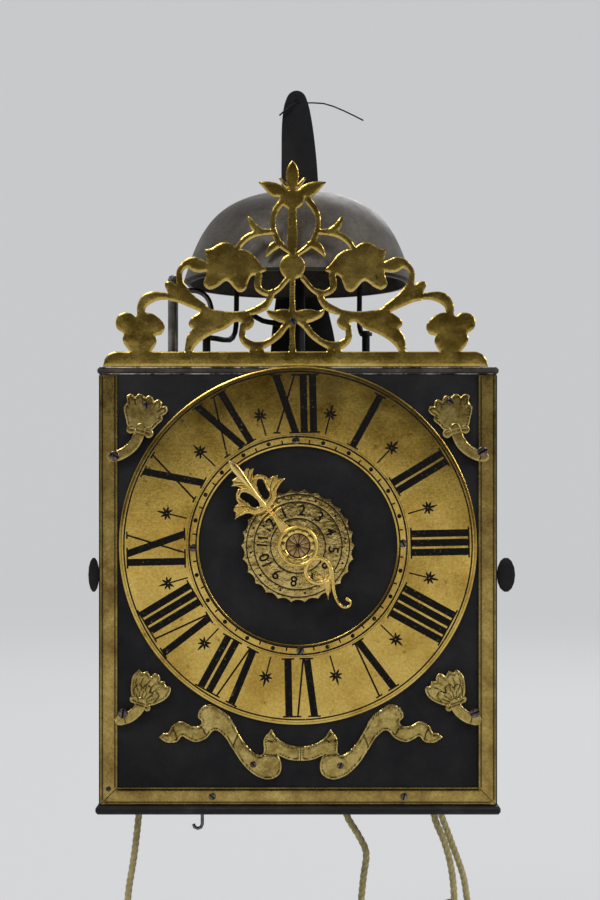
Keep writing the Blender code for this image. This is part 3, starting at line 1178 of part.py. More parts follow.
def make_going_train():
    to_hour = turn_angle(-GOING_X, DIAL_HEIGHT - GOING_GREAT_HEIGHT)
    report = pinion(REPORT_LEAVES, REPORT_RADIUS, HOUR_PLANE_Y, HOUR_WHEEL_THICKNESS + GAP, to_hour)
    front_tip = HOUR_PLANE_Y - HOUR_WHEEL_THICKNESS
    make_great_wheel("going_great_wheel", GOING_X, GOING_GREAT_HEIGHT, front_tip, [report])
    make_pulley("going_pulley", GOING_X, GOING_GREAT_HEIGHT)

    def arbor_between():
        return arbor(ARBOR_RADIUS, PIVOT_RADIUS, FRONT_TIP, FRONT_SHOULDER, REAR_SHOULDER, REAR_TIP)

    down = gap_facing(-UP, PINION_LEAVES)
    length = WHEEL_THICKNESS + PINION_EXTRA
    second = joined(wheel(SECOND_TEETH, SECOND_RADIUS, SECOND_PLANE_Y, UP), [
        arbor_between(), pinion(PINION_LEAVES, PINION_RADIUS, GREAT_PLANE_Y, length, down)])
    place(second, "second_wheel", BRASS, GOING_X, SECOND_HEIGHT)

    contrate = joined(contrate_shape(), [
        arbor_between(),
        pinion(PINION_LEAVES, SECOND_PINION_RADIUS, SECOND_PLANE_Y, length, down)])
    place(contrate, "contrate_wheel", BRASS, GOING_X, CONTRATE_HEIGHT)
    make_crown_wheel()

    hour = [gear_outline(HOUR_TEETH, HOUR_RADIUS, gap_facing(to_hour + math.pi, HOUR_TEETH)),
            *crossings(SNAIL_RADIUS + RUN_ON, HOUR_RADIUS - HOUR_RIM, 4, HOUR_SPOKE)]
    hour_wheel = sheet(hour, HOUR_WHEEL_THICKNESS, HOUR_PLANE_Y + HOUR_WHEEL_THICKNESS / 2)
    arbor_front = HAND_BACK_Y - HAND_THICKNESS / 2
    shaft = rod(HOUR_ARBOR_RADIUS, (0, arbor_front, 0), (0, FRONT_SHOULDER, 0), 16)
    snail_back = HOUR_PLANE_Y + HOUR_WHEEL_THICKNESS * 3 / 2 - GAP
    snail = sheet([snail_outline()], HOUR_WHEEL_THICKNESS, snail_back)
    place(joined(hour_wheel, [shaft, snail]), "hour_wheel", BRASS, 0, DIAL_HEIGHT)


def snail_outline():
    """Twelve steps, the highest for one stroke and the lowest for twelve."""
    outline = []
    for hour in range(12):
        radius = SNAIL_RADIUS - (SNAIL_RADIUS - SNAIL_LOW_RADIUS) * hour / 11
        for part in (0, 1):
            angle = -FULL_TURN * (hour + part * SNAIL_STEP_SHARE) / 12
            outline.append((radius * math.cos(angle), radius * math.sin(angle)))
    return outline


def contrate_shape():
    """A rim with teeth that point to the rear, on spokes."""
    outer = CONTRATE_RADIUS + CONTRATE_RIM / 2
    inner = CONTRATE_RADIUS - CONTRATE_RIM / 2
    face = CONTRATE_PLANE_Y + WHEEL_THICKNESS / 2
    plate = sheet([circle(outer, 36), *crossings(outer * 0.24, inner)], WHEEL_THICKNESS, face)
    tooth_width = CONTRATE_TOOTH_SHARE * FULL_TURN * CONTRATE_RADIUS / CONTRATE_TEETH
    bm = bmesh.new()
    for i in range(CONTRATE_TEETH):
        turn = Matrix.Rotation(FULL_TURN * i / CONTRATE_TEETH, 4, "Y")
        start = face - RUN_ON
        end = face + CONTRATE_TOOTH_LENGTH
        depth = CONTRATE_RIM * CONTRATE_TOOTH_DEPTH_SHARE / 2
        places = ((-tooth_width, start), (tooth_width, start), (0, end))
        rings = [[bm.verts.new(turn @ Vector((x, y, CONTRATE_RADIUS + reach))) for x, y in places]
                 for reach in (-depth, depth)]
        bm.faces.new(rings[0])
        bm.faces.new(rings[1][::-1])
        for a, b in ((0, 1), (1, 2), (2, 0)):
            bm.faces.new((rings[0][b], rings[0][a], rings[1][a], rings[1][b]))
    bmesh.ops.recalc_face_normals(bm, faces=bm.faces)
    return joined(plate, [from_bmesh(bm)])


def make_crown_wheel():
    """The vertical escape wheel, its teeth up, with its pinion below."""
    outer = CROWN_RADIUS + CROWN_RIM / 2
    inner = CROWN_RADIUS - CROWN_RIM / 2
    low = CROWN_BAND_LOW
    high = low + CROWN_BAND_HEIGHT
    band = turned([(0, low + CROWN_WEB_THICKNESS), (inner, low + CROWN_WEB_THICKNESS),
                   (inner, high), (outer, high), (outer, low), (0, low)], 24)
    bm = bmesh.new()
    for i in range(CROWN_TEETH):
        start = FULL_TURN * i / CROWN_TEETH
        end = FULL_TURN * (i + CROWN_TOOTH_SHARE) / CROWN_TEETH
        places = ((start, high - RUN_ON), (end, high - RUN_ON), (end, high + CROWN_TOOTH_HEIGHT))
        rings = [[bm.verts.new((r * math.cos(a), r * math.sin(a), z)) for a, z in places]
                 for r in (inner + GAP, outer - GAP)]
        bm.faces.new(rings[0])
        bm.faces.new(rings[1][::-1])
        for a, b in ((0, 1), (1, 2), (2, 0)):
            bm.faces.new((rings[0][b], rings[0][a], rings[1][a], rings[1][b]))
    bmesh.ops.recalc_face_normals(bm, faces=bm.faces)
    teeth = from_bmesh(bm)
    shaft = rod(CROWN_ARBOR_RADIUS, (0, 0, LOWER_POTENCE), (0, 0, low + RUN_ON))
    collar = rod(2 * CROWN_ARBOR_RADIUS, (0, 0, UPPER_POTENCE + POTENCE_THICKNESS + GAP),
                 (0, 0, low + RUN_ON))
    leaves = sheet([gear_outline(CROWN_LEAVES, CROWN_PINION_RADIUS, gap_facing(-UP, CROWN_LEAVES))],
                   CROWN_PINION_LENGTH)
    leaves.data.transform(Matrix.Rotation(-math.pi / 2, 4, "X"))
    moved(leaves, (0, 0, CROWN_MESH_HEIGHT - CROWN_PINION_LENGTH / 2))
    wheel_shape = joined(band, [teeth, shaft, collar, leaves])
    place(wheel_shape, "crown_wheel", BRASS, GOING_X, 0, CROWN_Y)


def make_pendulum():
    """The verge with its two pallets, and the short pendulum on its rear end."""
    front = FRONT_TIP
    verge = rod(VERGE_RADIUS, (0, front, 0), (0, PENDULUM_Y + PENDULUM_ROD_RADIUS, 0))
    pallets = []
    for side in (-1, 1):
        middle = CROWN_Y + side * CROWN_RADIUS
        pallet = box((-PALLET_THICKNESS / 2, middle - PALLET_WIDTH / 2, -PALLET_DROP),
                     (PALLET_THICKNESS / 2, middle + PALLET_WIDTH / 2, 0))
        pallets.append(pallet)
    hang = rod(PENDULUM_ROD_RADIUS, (0, PENDULUM_Y, 0),
               (0, PENDULUM_Y, -PENDULUM_LENGTH - BOB_HEIGHT), 8)
    place(joined(verge, [*pallets, hang]), "pendulum", STEEL, GOING_X, VERGE_HEIGHT)
    half = BOB_HEIGHT / 2
    bore = PENDULUM_ROD_RADIUS + GAP
    bob = turned([(bore, half), (BOB_RADIUS * 0.45, half), (BOB_RADIUS, -half * 0.35),
                  (BOB_RADIUS * 0.8, -half * 0.85), (BOB_RADIUS * 0.3, -half), (bore, -half),
                  (bore, half)], 12)
    moved(bob, (0, PENDULUM_Y, -PENDULUM_LENGTH))
    place(bob, "pendulum_bob", LEAD, GOING_X, VERGE_HEIGHT, angle=50)


def make_strike_train():
    make_great_wheel("strike_great_wheel", STRIKE_X, STRIKE_GREAT_HEIGHT, FRONT_TIP, [])
    make_pulley("strike_pulley", STRIKE_X, STRIKE_GREAT_HEIGHT)

    def arbor_between():
        return arbor(ARBOR_RADIUS, PIVOT_RADIUS, FRONT_TIP, FRONT_SHOULDER, REAR_SHOULDER, REAR_TIP)

    down = gap_facing(-UP, PINION_LEAVES)
    length = WHEEL_THICKNESS + PINION_EXTRA
    bm = bmesh.new()
    face = SECOND_PLANE_Y + WHEEL_THICKNESS / 2
    for i in range(PIN_COUNT):
        angle = FULL_TURN * (i + 0.5) / PIN_COUNT
        x = PIN_CIRCLE_RADIUS * math.cos(angle)
        z = PIN_CIRCLE_RADIUS * math.sin(angle)
        made = bmesh.ops.create_cone(bm, cap_ends=True, segments=6, radius1=PIN_RADIUS,
                                     radius2=PIN_RADIUS, depth=PIN_LENGTH + RUN_ON)["verts"]
        bmesh.ops.rotate(bm, matrix=Matrix.Rotation(math.pi / 2, 3, "X"), verts=made)
        bmesh.ops.translate(bm, vec=(x, face + (PIN_LENGTH - RUN_ON) / 2, z), verts=made)
    band = [gear_outline(SECOND_TEETH, SECOND_RADIUS, UP),
            *crossings(SECOND_RADIUS * 0.24, PIN_CIRCLE_RADIUS - 2 * PIN_RADIUS)]
    plate = sheet(band, WHEEL_THICKNESS, face)
    pins = joined(plate, [
        from_bmesh(bm), arbor_between(),
        pinion(PINION_LEAVES, PINION_RADIUS, GREAT_PLANE_Y, length, down)])
    place(pins, "pin_wheel", BRASS, STRIKE_X, PIN_WHEEL_HEIGHT)

    vane = box((-FLY_VANE_WIDTH / 2, FLY_Y - FLY_VANE_HEIGHT / 2, -FLY_VANE_THICKNESS / 2),
               (FLY_VANE_WIDTH / 2, FLY_Y + FLY_VANE_HEIGHT / 2, FLY_VANE_THICKNESS / 2))
    fly = joined(arbor_between(), [
        vane, pinion(PINION_LEAVES, SECOND_PINION_RADIUS, SECOND_PLANE_Y, length, down)])
    place(fly, "fly", STEEL, STRIKE_X, FLY_HEIGHT)

    make_rack()
    hook_low = -PULL_BELOW
    hook = [(PULL_X, PULL_Y, PULL_TOP_HEIGHT), (PULL_X, PULL_Y, 0), (PULL_X, PULL_Y, hook_low)]
    hook += [(PULL_X - PULL_HOOK_RADIUS + PULL_HOOK_RADIUS * math.cos(a), PULL_Y,
              hook_low + PULL_HOOK_RADIUS * math.sin(a))
             for a in (-math.pi / 4, -math.pi / 2, -3 * math.pi / 4, -math.pi)]
    wire = tube(hook, PULL_WIRE_RADIUS, 1)
    collar_low = BOTTOM_THICKNESS + PULL_TRAVEL + PULL_WIRE_RADIUS
    collar = rod(3 * PULL_WIRE_RADIUS, (PULL_X, PULL_Y, collar_low),
                 (PULL_X, PULL_Y, collar_low + 2 * PULL_WIRE_RADIUS))
    finish(joined(wire, [collar]), "strike_pull", IRON)


def make_rack():
    half = RACK_WIDTH / 2
    outline = [(RACK_X + half, RACK_LOW_HEIGHT), (RACK_X + half, RACK_TOP_HEIGHT),
               (RACK_X - half, RACK_TOP_HEIGHT)]
    top = RACK_TOP_HEIGHT - RACK_PITCH
    for i in range(RACK_TEETH):
        z = top - i * RACK_PITCH
        outline += [(RACK_X - half, z), (RACK_X - half + RACK_TOOTH_DEPTH, z)]
    low = top - RACK_TEETH * RACK_PITCH
    outline += [(RACK_X - half, low), (RACK_X - half, RACK_LOW_HEIGHT + RACK_PITCH)]
    outline += [(RACK_X - half, RACK_LOW_HEIGHT)]
    blade = sheet([outline], RACK_THICKNESS, RACK_Y + RACK_THICKNESS / 2)
    finger = box((RACK_X - half, RACK_Y - RACK_THICKNESS / 2, RACK_LOW_HEIGHT),
                 (RACK_X + half, RACK_Y + RACK_FINGER, RACK_LOW_HEIGHT + RACK_THICKNESS))
    finish(joined(blade, [finger]), "strike_rack", STEEL)


# Alarm
def make_alarm():
    half = ALARM_LUG_SPREAD - ALARM_LUG_THICKNESS / 2 - GAP
    groove = ALARM_ROPE_RADIUS - ROPE_RADIUS - GAP
    flange = groove + PULLEY_FLANGE * 0.8
    rope_half = ROPE_RADIUS + 2 * GAP
    cheek = 2 * rope_half
    shaft_tip = half + ALARM_LUG_THICKNESS
    profile = [(0, shaft_tip), (PIVOT_RADIUS, shaft_tip), (PIVOT_RADIUS, half), (flange * 0.4, half),
               (flange * 0.4, cheek), (flange, cheek), (groove, rope_half), (groove, -rope_half),
               (flange, -cheek), (flange * 0.4, -cheek), (flange * 0.4, -half),
               (PIVOT_RADIUS, -half), (PIVOT_RADIUS, -shaft_tip), (0, -shaft_tip)]
    body = turned_along_y(profile, 12)
    outline = []
    for i in range(ALARM_TEETH):
        for share, radius in ((0, ALARM_WHEEL_RADIUS), (0.55, ALARM_WHEEL_RADIUS * 0.78)):
            angle = FULL_TURN * (i + share) / ALARM_TEETH
            outline.append((radius * math.cos(angle), radius * math.sin(angle)))
    teeth = sheet([outline], WHEEL_THICKNESS, half - 2 * GAP)
    place(joined(body, [teeth]), "alarm_wheel", BRASS, ALARM_X, ALARM_HEIGHT, ALARM_Y)

    edge = []
    for i in range(ALARM_SCALLOPS):
        for share, depth in ((0, 0), (0.5, 1)):
            angle = FULL_TURN * (i + share) / ALARM_SCALLOPS
            radius = ALARM_DISC_RADIUS - depth * SCALLOP_DEPTH
            edge.append((radius * math.cos(angle), radius * math.sin(angle)))
    bore = circle(HOUR_ARBOR_RADIUS + GAP, 16)
    disc = sheet([edge, bore], ALARM_DISC_THICKNESS, ALARM_DISC_Y + ALARM_DISC_THICKNESS)
    place(disc, "alarm_disc", BRASS, 0, DIAL_HEIGHT)


def make_hand():
    size = HAND_LENGTH
    right = thinned(scaled(HAND_HEAD_SHARES, size), OUTLINE_SLACK / 3)
    hole = thinned(scaled(HAND_HOLE_SHARES, size), OUTLINE_SLACK / 3)
    back = HAND_BACK_Y
    head = sheet([right + mirrored(right)], HAND_THICKNESS, back)
    windows = [sheet([outline], 2 * HAND_THICKNESS, back + RUN_ON)
               for outline in (hole, mirrored(hole))]
    head = without(head, windows)
    ring_z = HAND_RING_PLACE_SHARE * size
    ring_outer = (HAND_RING_SHARE + HAND_RING_HALF_SHARE) * size
    ring_inner = (HAND_RING_SHARE - HAND_RING_HALF_SHARE) * size
    step = CAST_RELIEF
    ring = sheet([circle(ring_outer, 16, 0, ring_z), circle(ring_inner, 16, 0, ring_z)],
                 HAND_THICKNESS - 2 * step, back - step)
    tail = sheet([scroll(HAND_TAIL_SHARES, size)], HAND_THICKNESS - 4 * step, back - 2 * step)
    thorn = sheet([scaled(HAND_THORN_SHARES, size)], HAND_THICKNESS - 6 * step, back - 3 * step)
    front = -back + BOSS_THICKNESS
    rear = step - back
    boss = turned_along_y([(0, front), (BOSS_RADIUS * 0.58, front), (BOSS_RADIUS, front - RUN_ON),
                           (BOSS_RADIUS, rear), (0, rear)], 18)
    body = joined(head, [ring, tail, thorn, boss])
    bore = rod(HOUR_ARBOR_RADIUS + GAP, (0, back + RUN_ON, 0), (0, back - HAND_THICKNESS / 2 - GAP, 0), 16)
    body = without(body, [bore])
    body.data.transform(Matrix.Rotation(-HAND_TURN, 4, "Y"))
    place(body, "hour_hand", BRIGHT_BRASS, 0, DIAL_HEIGHT)


# Ropes
def over_pulley(x, y, z, radius, start, end):
    """Points round a pulley, from one angle to the other."""
    steps = ROPE_ARC_STEPS
    return [(x + radius * math.cos(start + (end - start) * i / steps), y,
             z + radius * math.sin(start + (end - start) * i / steps)) for i in range(steps + 1)]


def straight(x, y, start, end):
    """Points along an upright stretch, about two and a half diameters apart."""
    count = max(2, round(abs(end - start) / (5 * ROPE_RADIUS)))
    return [(x, y, start + (end - start) * i / count) for i in range(count)]


def hank_path(top, loops, side):
    """Loops of rope side by side, drawn in at the waist, and the tail end down the last run."""
    x, y, z = top
    half = HANK_WIDTH / 2
    bend = z - 2 * ROPE_RADIUS - half
    points = [(x, y, z), (x, y, z - 2 * ROPE_RADIUS)]
    total = HANK_LOOP_POINTS
    run_points = total // 4
    arc_points = total // 4
    for index in range(loops * total + run_points // 2 + 1):
        loop, at = divmod(index, total)
        if at < run_points:
            share = at / run_points
            waist = (HANK_WIDTH - HANK_WAIST) / 2 * math.sin(math.pi * share) ** 2
            across = -half + waist
            height = bend - HANK_RUN * share
        elif at < run_points + arc_points:
            angle = math.pi + math.pi * (at - run_points) / arc_points
            across = half * math.cos(angle)
            height = bend - HANK_RUN + half * math.sin(angle)
        elif at < 2 * run_points + arc_points:
            share = (at - run_points - arc_points) / run_points
            waist = (HANK_WIDTH - HANK_WAIST) / 2 * math.sin(math.pi * share) ** 2
            across = half - waist
            height = bend - HANK_RUN + HANK_RUN * share
        else:
            angle = math.pi * (at - 2 * run_points - arc_points) / arc_points
            across = half * math.cos(angle)
            height = bend + half * math.sin(angle)
        points.append((x + side * (across + half), y + HANK_PITCH * index / total, height))
    return points


def least_gap(path, radius):
    """The least gap of a wound tube to itself, between stretches that aren't neighbours."""
    line = [Vector(p) for p in path]
    least = HANK_RUN
    for i, here in enumerate(line):
        for j in range(i + 6, len(line)):
            least = min(least, (here - line[j]).length - 2 * radius)
    return least


def make_hank(name, route, loops, side):
    x, y, z = route[-1]
    path = hank_path((x, y, z - GAP), loops, side)
    print(f"{name}: least gap to itself {least_gap(path, ROPE_RADIUS) * 1000:.2f} mm")
    finish(tube(path, ROPE_RADIUS, 1), name, ROPE)


def make_ropes():
    radius = PULLEY_ROPE_RADIUS
    y = PULLEY_CENTRE_Y
    z = STRIKE_GREAT_HEIGHT
    route = smooth_path(STRIKE_FREE_ROUTE, 2)
    path = straight(STRIKE_X + radius, y, STRIKE_KNOT_HEIGHT, z)
    path += over_pulley(STRIKE_X, y, z, radius, 0, math.pi)
    path += straight(STRIKE_X - radius, y, z, 0)[1:] + route
    finish(tube(path, ROPE_RADIUS, 1), "strike_rope", ROPE)
    make_hank("strike_rope_hank", STRIKE_FREE_ROUTE, STRIKE_HANK_LOOPS, 1)

    z = GOING_GREAT_HEIGHT
    top_gap = GAP / radius
    loaded = over_pulley(GOING_X, y, z, radius, UP + top_gap, math.pi)
    loaded += straight(GOING_X - radius, y, z, 0)[1:] + smooth_path(GOING_FREE_ROUTE, 2)
    finish(tube(loaded, ROPE_RADIUS, 1), "going_rope_load_side", ROPE)
    slack = over_pulley(GOING_X, y, z, radius, UP - top_gap, 0)
    slack += straight(GOING_X + radius, y, z, 0)[1:] + smooth_path(GOING_SLACK_ROUTE, 2)
    finish(tube(slack, ROPE_RADIUS, 1), "going_rope_slack_side", ROPE)
    make_hank("going_rope_hank", GOING_FREE_ROUTE, GOING_HANK_LOOPS, 1)

    radius = ALARM_ROPE_RADIUS
    path = straight(ALARM_X - radius, ALARM_Y, ALARM_KNOT_HEIGHT, ALARM_HEIGHT)
    path += over_pulley(ALARM_X, ALARM_Y, ALARM_HEIGHT, radius, math.pi, 0)
    path += straight(ALARM_X + radius, ALARM_Y, ALARM_HEIGHT, 0)[1:]
    path += smooth_path(ALARM_FREE_ROUTE, 2)
    finish(tube(path, ROPE_RADIUS, 1), "alarm_rope", ROPE)
    make_hank("alarm_rope_hank", ALARM_FREE_ROUTE, ALARM_HANK_LOOPS, -1)


clear_scene()
PIECES = collection("comtoise_clock")
CUTTERS = collection("cutters")
make_plates()
make_posts()
make_sheets()
make_door("left", -1, LEFT_THUMB_WIDTH)
make_door("right", 1, RIGHT_THUMB_WIDTH)
make_dial()
make_borders()
make_ornaments()
make_ribbons()
make_crest()
make_bell()
make_strap()
make_hammers()
make_bars()
make_going_train()
make_pendulum()
make_strike_train()
make_alarm()
make_hand()
make_ropes()
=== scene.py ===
"""The looks of an iron-caged wall clock with a brass dial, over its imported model. Lengths are in metres."""

import json
import math

import bmesh
import bpy
import numpy as np
from mathutils import Matrix, Vector
from mathutils.geometry import delaunay_2d_cdt

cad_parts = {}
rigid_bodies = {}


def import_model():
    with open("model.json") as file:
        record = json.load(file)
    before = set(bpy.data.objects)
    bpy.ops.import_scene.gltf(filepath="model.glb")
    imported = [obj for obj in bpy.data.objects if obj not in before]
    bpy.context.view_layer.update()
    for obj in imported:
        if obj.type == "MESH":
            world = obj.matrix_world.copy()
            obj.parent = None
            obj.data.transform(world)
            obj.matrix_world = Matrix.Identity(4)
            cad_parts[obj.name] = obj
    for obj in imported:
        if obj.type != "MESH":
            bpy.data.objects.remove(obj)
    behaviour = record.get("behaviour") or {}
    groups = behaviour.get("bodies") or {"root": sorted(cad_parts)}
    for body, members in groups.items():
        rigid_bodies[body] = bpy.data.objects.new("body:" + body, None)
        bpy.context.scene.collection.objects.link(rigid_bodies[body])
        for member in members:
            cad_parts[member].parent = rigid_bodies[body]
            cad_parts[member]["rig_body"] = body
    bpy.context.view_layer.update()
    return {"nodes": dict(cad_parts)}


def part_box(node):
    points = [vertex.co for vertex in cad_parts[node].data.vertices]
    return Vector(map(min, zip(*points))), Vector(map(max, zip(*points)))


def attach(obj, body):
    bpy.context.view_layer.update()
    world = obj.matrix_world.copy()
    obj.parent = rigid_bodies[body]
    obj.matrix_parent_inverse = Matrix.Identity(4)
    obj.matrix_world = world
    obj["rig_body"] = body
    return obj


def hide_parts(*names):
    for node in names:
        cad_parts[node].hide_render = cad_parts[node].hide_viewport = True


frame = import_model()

NODES = frame["nodes"]
FULL_TURN = 2 * math.pi
INK_RISE = 0.00004


def node_box(name):
    low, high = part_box(name)
    return Vector(low), Vector(high)


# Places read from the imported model, and sizes that its boxes don't give
DIAL_LOW, DIAL_HIGH = node_box("dial_ring")
DIAL_X = (DIAL_LOW.x + DIAL_HIGH.x) / 2
DIAL_Z = (DIAL_LOW.z + DIAL_HIGH.z) / 2
DIAL_RADIUS = (DIAL_HIGH.x - DIAL_LOW.x) / 2
DIAL_OPENING = 0.0595
DIAL_RIM_Y = -0.0764
DIAL_DOME = 0.0003
TRIM_BACK_Y = DIAL_HIGH.y
HALF_WIDTH = 0.1200
STANDING_LOW = 0.0053
STANDING_HIGH = 0.2632
PLATE_FRONT_Y = node_box("top_plate")[0].y
BELL_LOW, BELL_HIGH = node_box("bell")
BELL_RADIUS = (BELL_HIGH.x - BELL_LOW.x) / 2
DISC_LOW, DISC_HIGH = node_box("alarm_disc")
DISC_RADIUS = (DISC_HIGH.z - DISC_LOW.z) / 2
HAND_LOW, HAND_HIGH = node_box("hour_hand")
HAND_LENGTH = 0.0651
HAND_TURN = math.radians(39.0)
ROPE_DIAMETER = 0.0045


# Camera
EYE_HEIGHT = 0.188
EYE_DISTANCE = 1.000
LENS = 100
SENSOR = 54
PHOTO_HEIGHT = 900
VIEW_SHIFT_X = 2 / PHOTO_HEIGHT
VIEW_SHIFT_Y = 50.2 / PHOTO_HEIGHT


def make_camera():
    camera = bpy.data.objects.new("camera", bpy.data.cameras.new("camera"))
    bpy.context.scene.collection.objects.link(camera)
    camera.location = (0, PLATE_FRONT_Y - EYE_DISTANCE, EYE_HEIGHT)
    camera.rotation_euler = (math.pi / 2, 0, 0)
    camera.data.sensor_fit = "AUTO"
    camera.data.sensor_width = SENSOR
    camera.data.lens = LENS
    camera.data.shift_x = VIEW_SHIFT_X
    camera.data.shift_y = VIEW_SHIFT_Y
    camera.data.clip_start = 0.01
    bpy.context.scene.camera = camera


# Mesh helpers
def add_object(name, mesh, material, body, smooth_angle=40):
    obj = bpy.data.objects.new(name, mesh)
    bpy.context.scene.collection.objects.link(obj)
    mesh.materials.clear()
    mesh.materials.append(material)
    mesh.shade_smooth()
    mesh.set_sharp_from_angle(angle=math.radians(smooth_angle))
    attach(obj, body)
    return obj


def mesh_from(verts, faces, name="piece"):
    mesh = bpy.data.meshes.new(name)
    mesh.from_pydata([tuple(v) for v in verts], [], [tuple(f) for f in faces])
    mesh.validate()
    return mesh


def face_outward(mesh):
    bm = bmesh.new()
    bm.from_mesh(mesh)
    bmesh.ops.recalc_face_normals(bm, faces=bm.faces)
    bm.to_mesh(mesh)
    bm.free()
    return mesh


def store(mesh, name, values):
    """A number for each vertex, which a material reads by its name."""
    layer = mesh.attributes.new(name, "FLOAT", "POINT")
    layer.data.foreach_set("value", np.asarray(values, dtype=np.float32))


def smooth_path(points, between):
    """Points on a smooth curve through the given ones."""
    line = [Vector(p) for p in points]
    line = [2 * line[0] - line[1], *line, 2 * line[-1] - line[-2]]
    path = []
    for before, start, end, after in zip(line, line[1:], line[2:], line[3:]):
        for step in range(between):
            t = step / between
            path.append(0.5 * (2 * start + (end - before) * t
                               + (2 * before - 5 * start + 4 * end - after) * t ** 2
                               + (3 * start - before - 3 * end + after) * t ** 3))
    return [*path, line[-2]]


def even_path(points, step):
    """The same path with its points a steady distance apart."""
    line = np.array([tuple(p) for p in points])
    lengths = np.linalg.norm(np.diff(line, axis=0), axis=1)
    along = np.concatenate([[0], np.cumsum(lengths)])
    count = max(2, int(round(along[-1] / step)) + 1)
    wanted = np.linspace(0, along[-1], count)
    columns = [np.interp(wanted, along, line[:, k]) for k in range(line.shape[1])]
    return [Vector(p) for p in zip(*columns)]


def path_length(points):
    return sum((b - a).length for a, b in zip(points, points[1:]))


def tube_rings(path, profile, closed=False):
    """Rings of vertices along the path. The profile gives radii and angles at a length along it."""
    line = [Vector(p) for p in path]
    ahead = line[1:] + ([line[0]] if closed else [2 * line[-1] - line[-2]])
    behind = ([line[-1]] if closed else [2 * line[0] - line[1]]) + line[:-1]
    tangents = [(a - b).normalized() for a, b in zip(ahead, behind)]
    seed = Vector((0, 1, 0)) if abs(tangents[0].y) < 0.9 else Vector((1, 0, 0))
    side = seed.cross(tangents[0]).normalized()
    rings = []
    travelled = 0.0
    for i, (place, tangent) in enumerate(zip(line, tangents)):
        side = (side - tangent * side.dot(tangent)).normalized()
        other = tangent.cross(side)
        if i:
            travelled += (place - line[i - 1]).length
        rings.append([place + side * (r * math.cos(a)) + other * (r * math.sin(a))
                      for r, a in profile(travelled)])
    return rings


def skin(rings, capped=True, closed=False):
    """A mesh over rings of equal counts."""
    count = len(rings[0])
    verts = [v for ring in rings for v in ring]
    faces = []
    pairs = list(range(len(rings) - 1)) + ([-1] if closed else [])
    for i in pairs:
        low = (i % len(rings)) * count
        high = ((i + 1) % len(rings)) * count
        for j in range(count):
            k = (j + 1) % count
            faces.append((low + j, low + k, high + k, high + j))
    if capped and not closed:
        faces.append(tuple(range(count))[::-1])
        faces.append(tuple(range((len(rings) - 1) * count, len(rings) * count)))
    return face_outward(mesh_from(verts, faces))


def round_profile(radius, sides):
    angles = [FULL_TURN * i / sides for i in range(sides)]
    return lambda travelled: [(radius, a) for a in angles]


def wire(name, path, radius, material, body, sides=12):
    return add_object(name, skin(tube_rings(path, round_profile(radius, sides))), material, body)


# Ropes, first in the scene
ROPE_STRANDS = 3
ROPE_LAY = 0.0130
ROPE_SIDES = 24
ROPE_GROOVE = 0.30
ROPE_STEP = 0.0008
TIE_TURNS = 5
TIE_RADIUS = 0.0006
KNOT_REACH = 0.0040
GAP = 0.0003
HANK_RUN = 0.0720
HANK_WIDTH = 0.0180
HANK_WAIST = 0.0110
HANK_PITCH = 0.0056
HANK_LOOPS = 2
HANK_POINTS = 72

STRIKE_FREE_ROUTE = [(-0.1013, -0.008, -0.004), (-0.1024, -0.008, -0.018),
                     (-0.1050, -0.008, -0.040), (-0.1082, -0.008, -0.060),
                     (-0.1096, -0.008, -0.076)]
GOING_FREE_ROUTE = [(0.0288, -0.008, -0.004), (0.0318, -0.008, -0.015),
                    (0.0390, -0.008, -0.027), (0.0436, -0.008, -0.038),
                    (0.0418, -0.008, -0.054), (0.0396, -0.008, -0.076)]
GOING_SLACK_ROUTE = [(0.0852, -0.008, -0.004), (0.0880, -0.008, -0.017),
                     (0.0934, -0.008, -0.030), (0.0974, -0.008, -0.044),
                     (0.0996, -0.008, -0.060), (0.1002, -0.008, -0.080),
                     (0.1000, -0.008, -0.098)]
ALARM_FREE_ROUTE = [(0.0915, 0.030, -0.004), (0.0942, 0.030, -0.018),
                    (0.1014, 0.030, -0.038), (0.1092, 0.030, -0.060),
                    (0.1120, 0.030, -0.076)]


def rope_profile(travelled):
    """A round of laid strands, turned on by the length along the rope."""
    turn = FULL_TURN * travelled / ROPE_LAY
    ring = []
    for i in range(ROPE_SIDES):
        angle = FULL_TURN * i / ROPE_SIDES
        swell = abs(math.cos(ROPE_STRANDS / 2 * (angle - turn)))
        ring.append((ROPE_DIAMETER / 2 * (1 - ROPE_GROOVE * (1 - swell) ** 1.6), angle))
    return ring


def rope_mesh(path):
    mesh = skin(tube_rings(path, rope_profile))
    return mesh


def hank_path(top, loops, side):
    """Loops of rope side by side, drawn in at the waist, and the tail end down the last run."""
    x, y, z = top
    half = HANK_WIDTH / 2
    bend = z - ROPE_DIAMETER - half
    points = [Vector((x, y, z)), Vector((x, y, z - ROPE_DIAMETER))]
    total = HANK_POINTS
    run_points = total // 4
    for index in range(loops * total + run_points // 2 + 1):
        at = index % total
        quarter, step = divmod(at, run_points)
        share = step / run_points
        waist = (HANK_WIDTH - HANK_WAIST) / 2 * math.sin(math.pi * share) ** 2
        if quarter == 0:
            across = -half + waist
            height = bend - HANK_RUN * share
        elif quarter == 1:
            across = half * math.cos(math.pi * (1 + share))
            height = bend - HANK_RUN + half * math.sin(math.pi * (1 + share))
        elif quarter == 2:
            across = half - waist
            height = bend - HANK_RUN * (1 - share)
        else:
            across = half * math.cos(math.pi * share)
            height = bend + half * math.sin(math.pi * share)
        points.append(Vector((x + side * (across + half), y + HANK_PITCH * index / total, height)))
    return points


def knot_path(centre, reach):
    """A trefoil, as an overhand knot lies."""
    points = []
    for i in range(73):
        t = FULL_TURN * i / 72
        points.append(Vector((centre[0] + reach * 0.5 * (math.sin(t) + 2 * math.sin(2 * t)),
                              centre[1] + reach * 0.42 * math.sin(3 * t),
                              centre[2] + reach * 0.5 * (math.cos(t) - 2 * math.cos(2 * t)))))
    return points


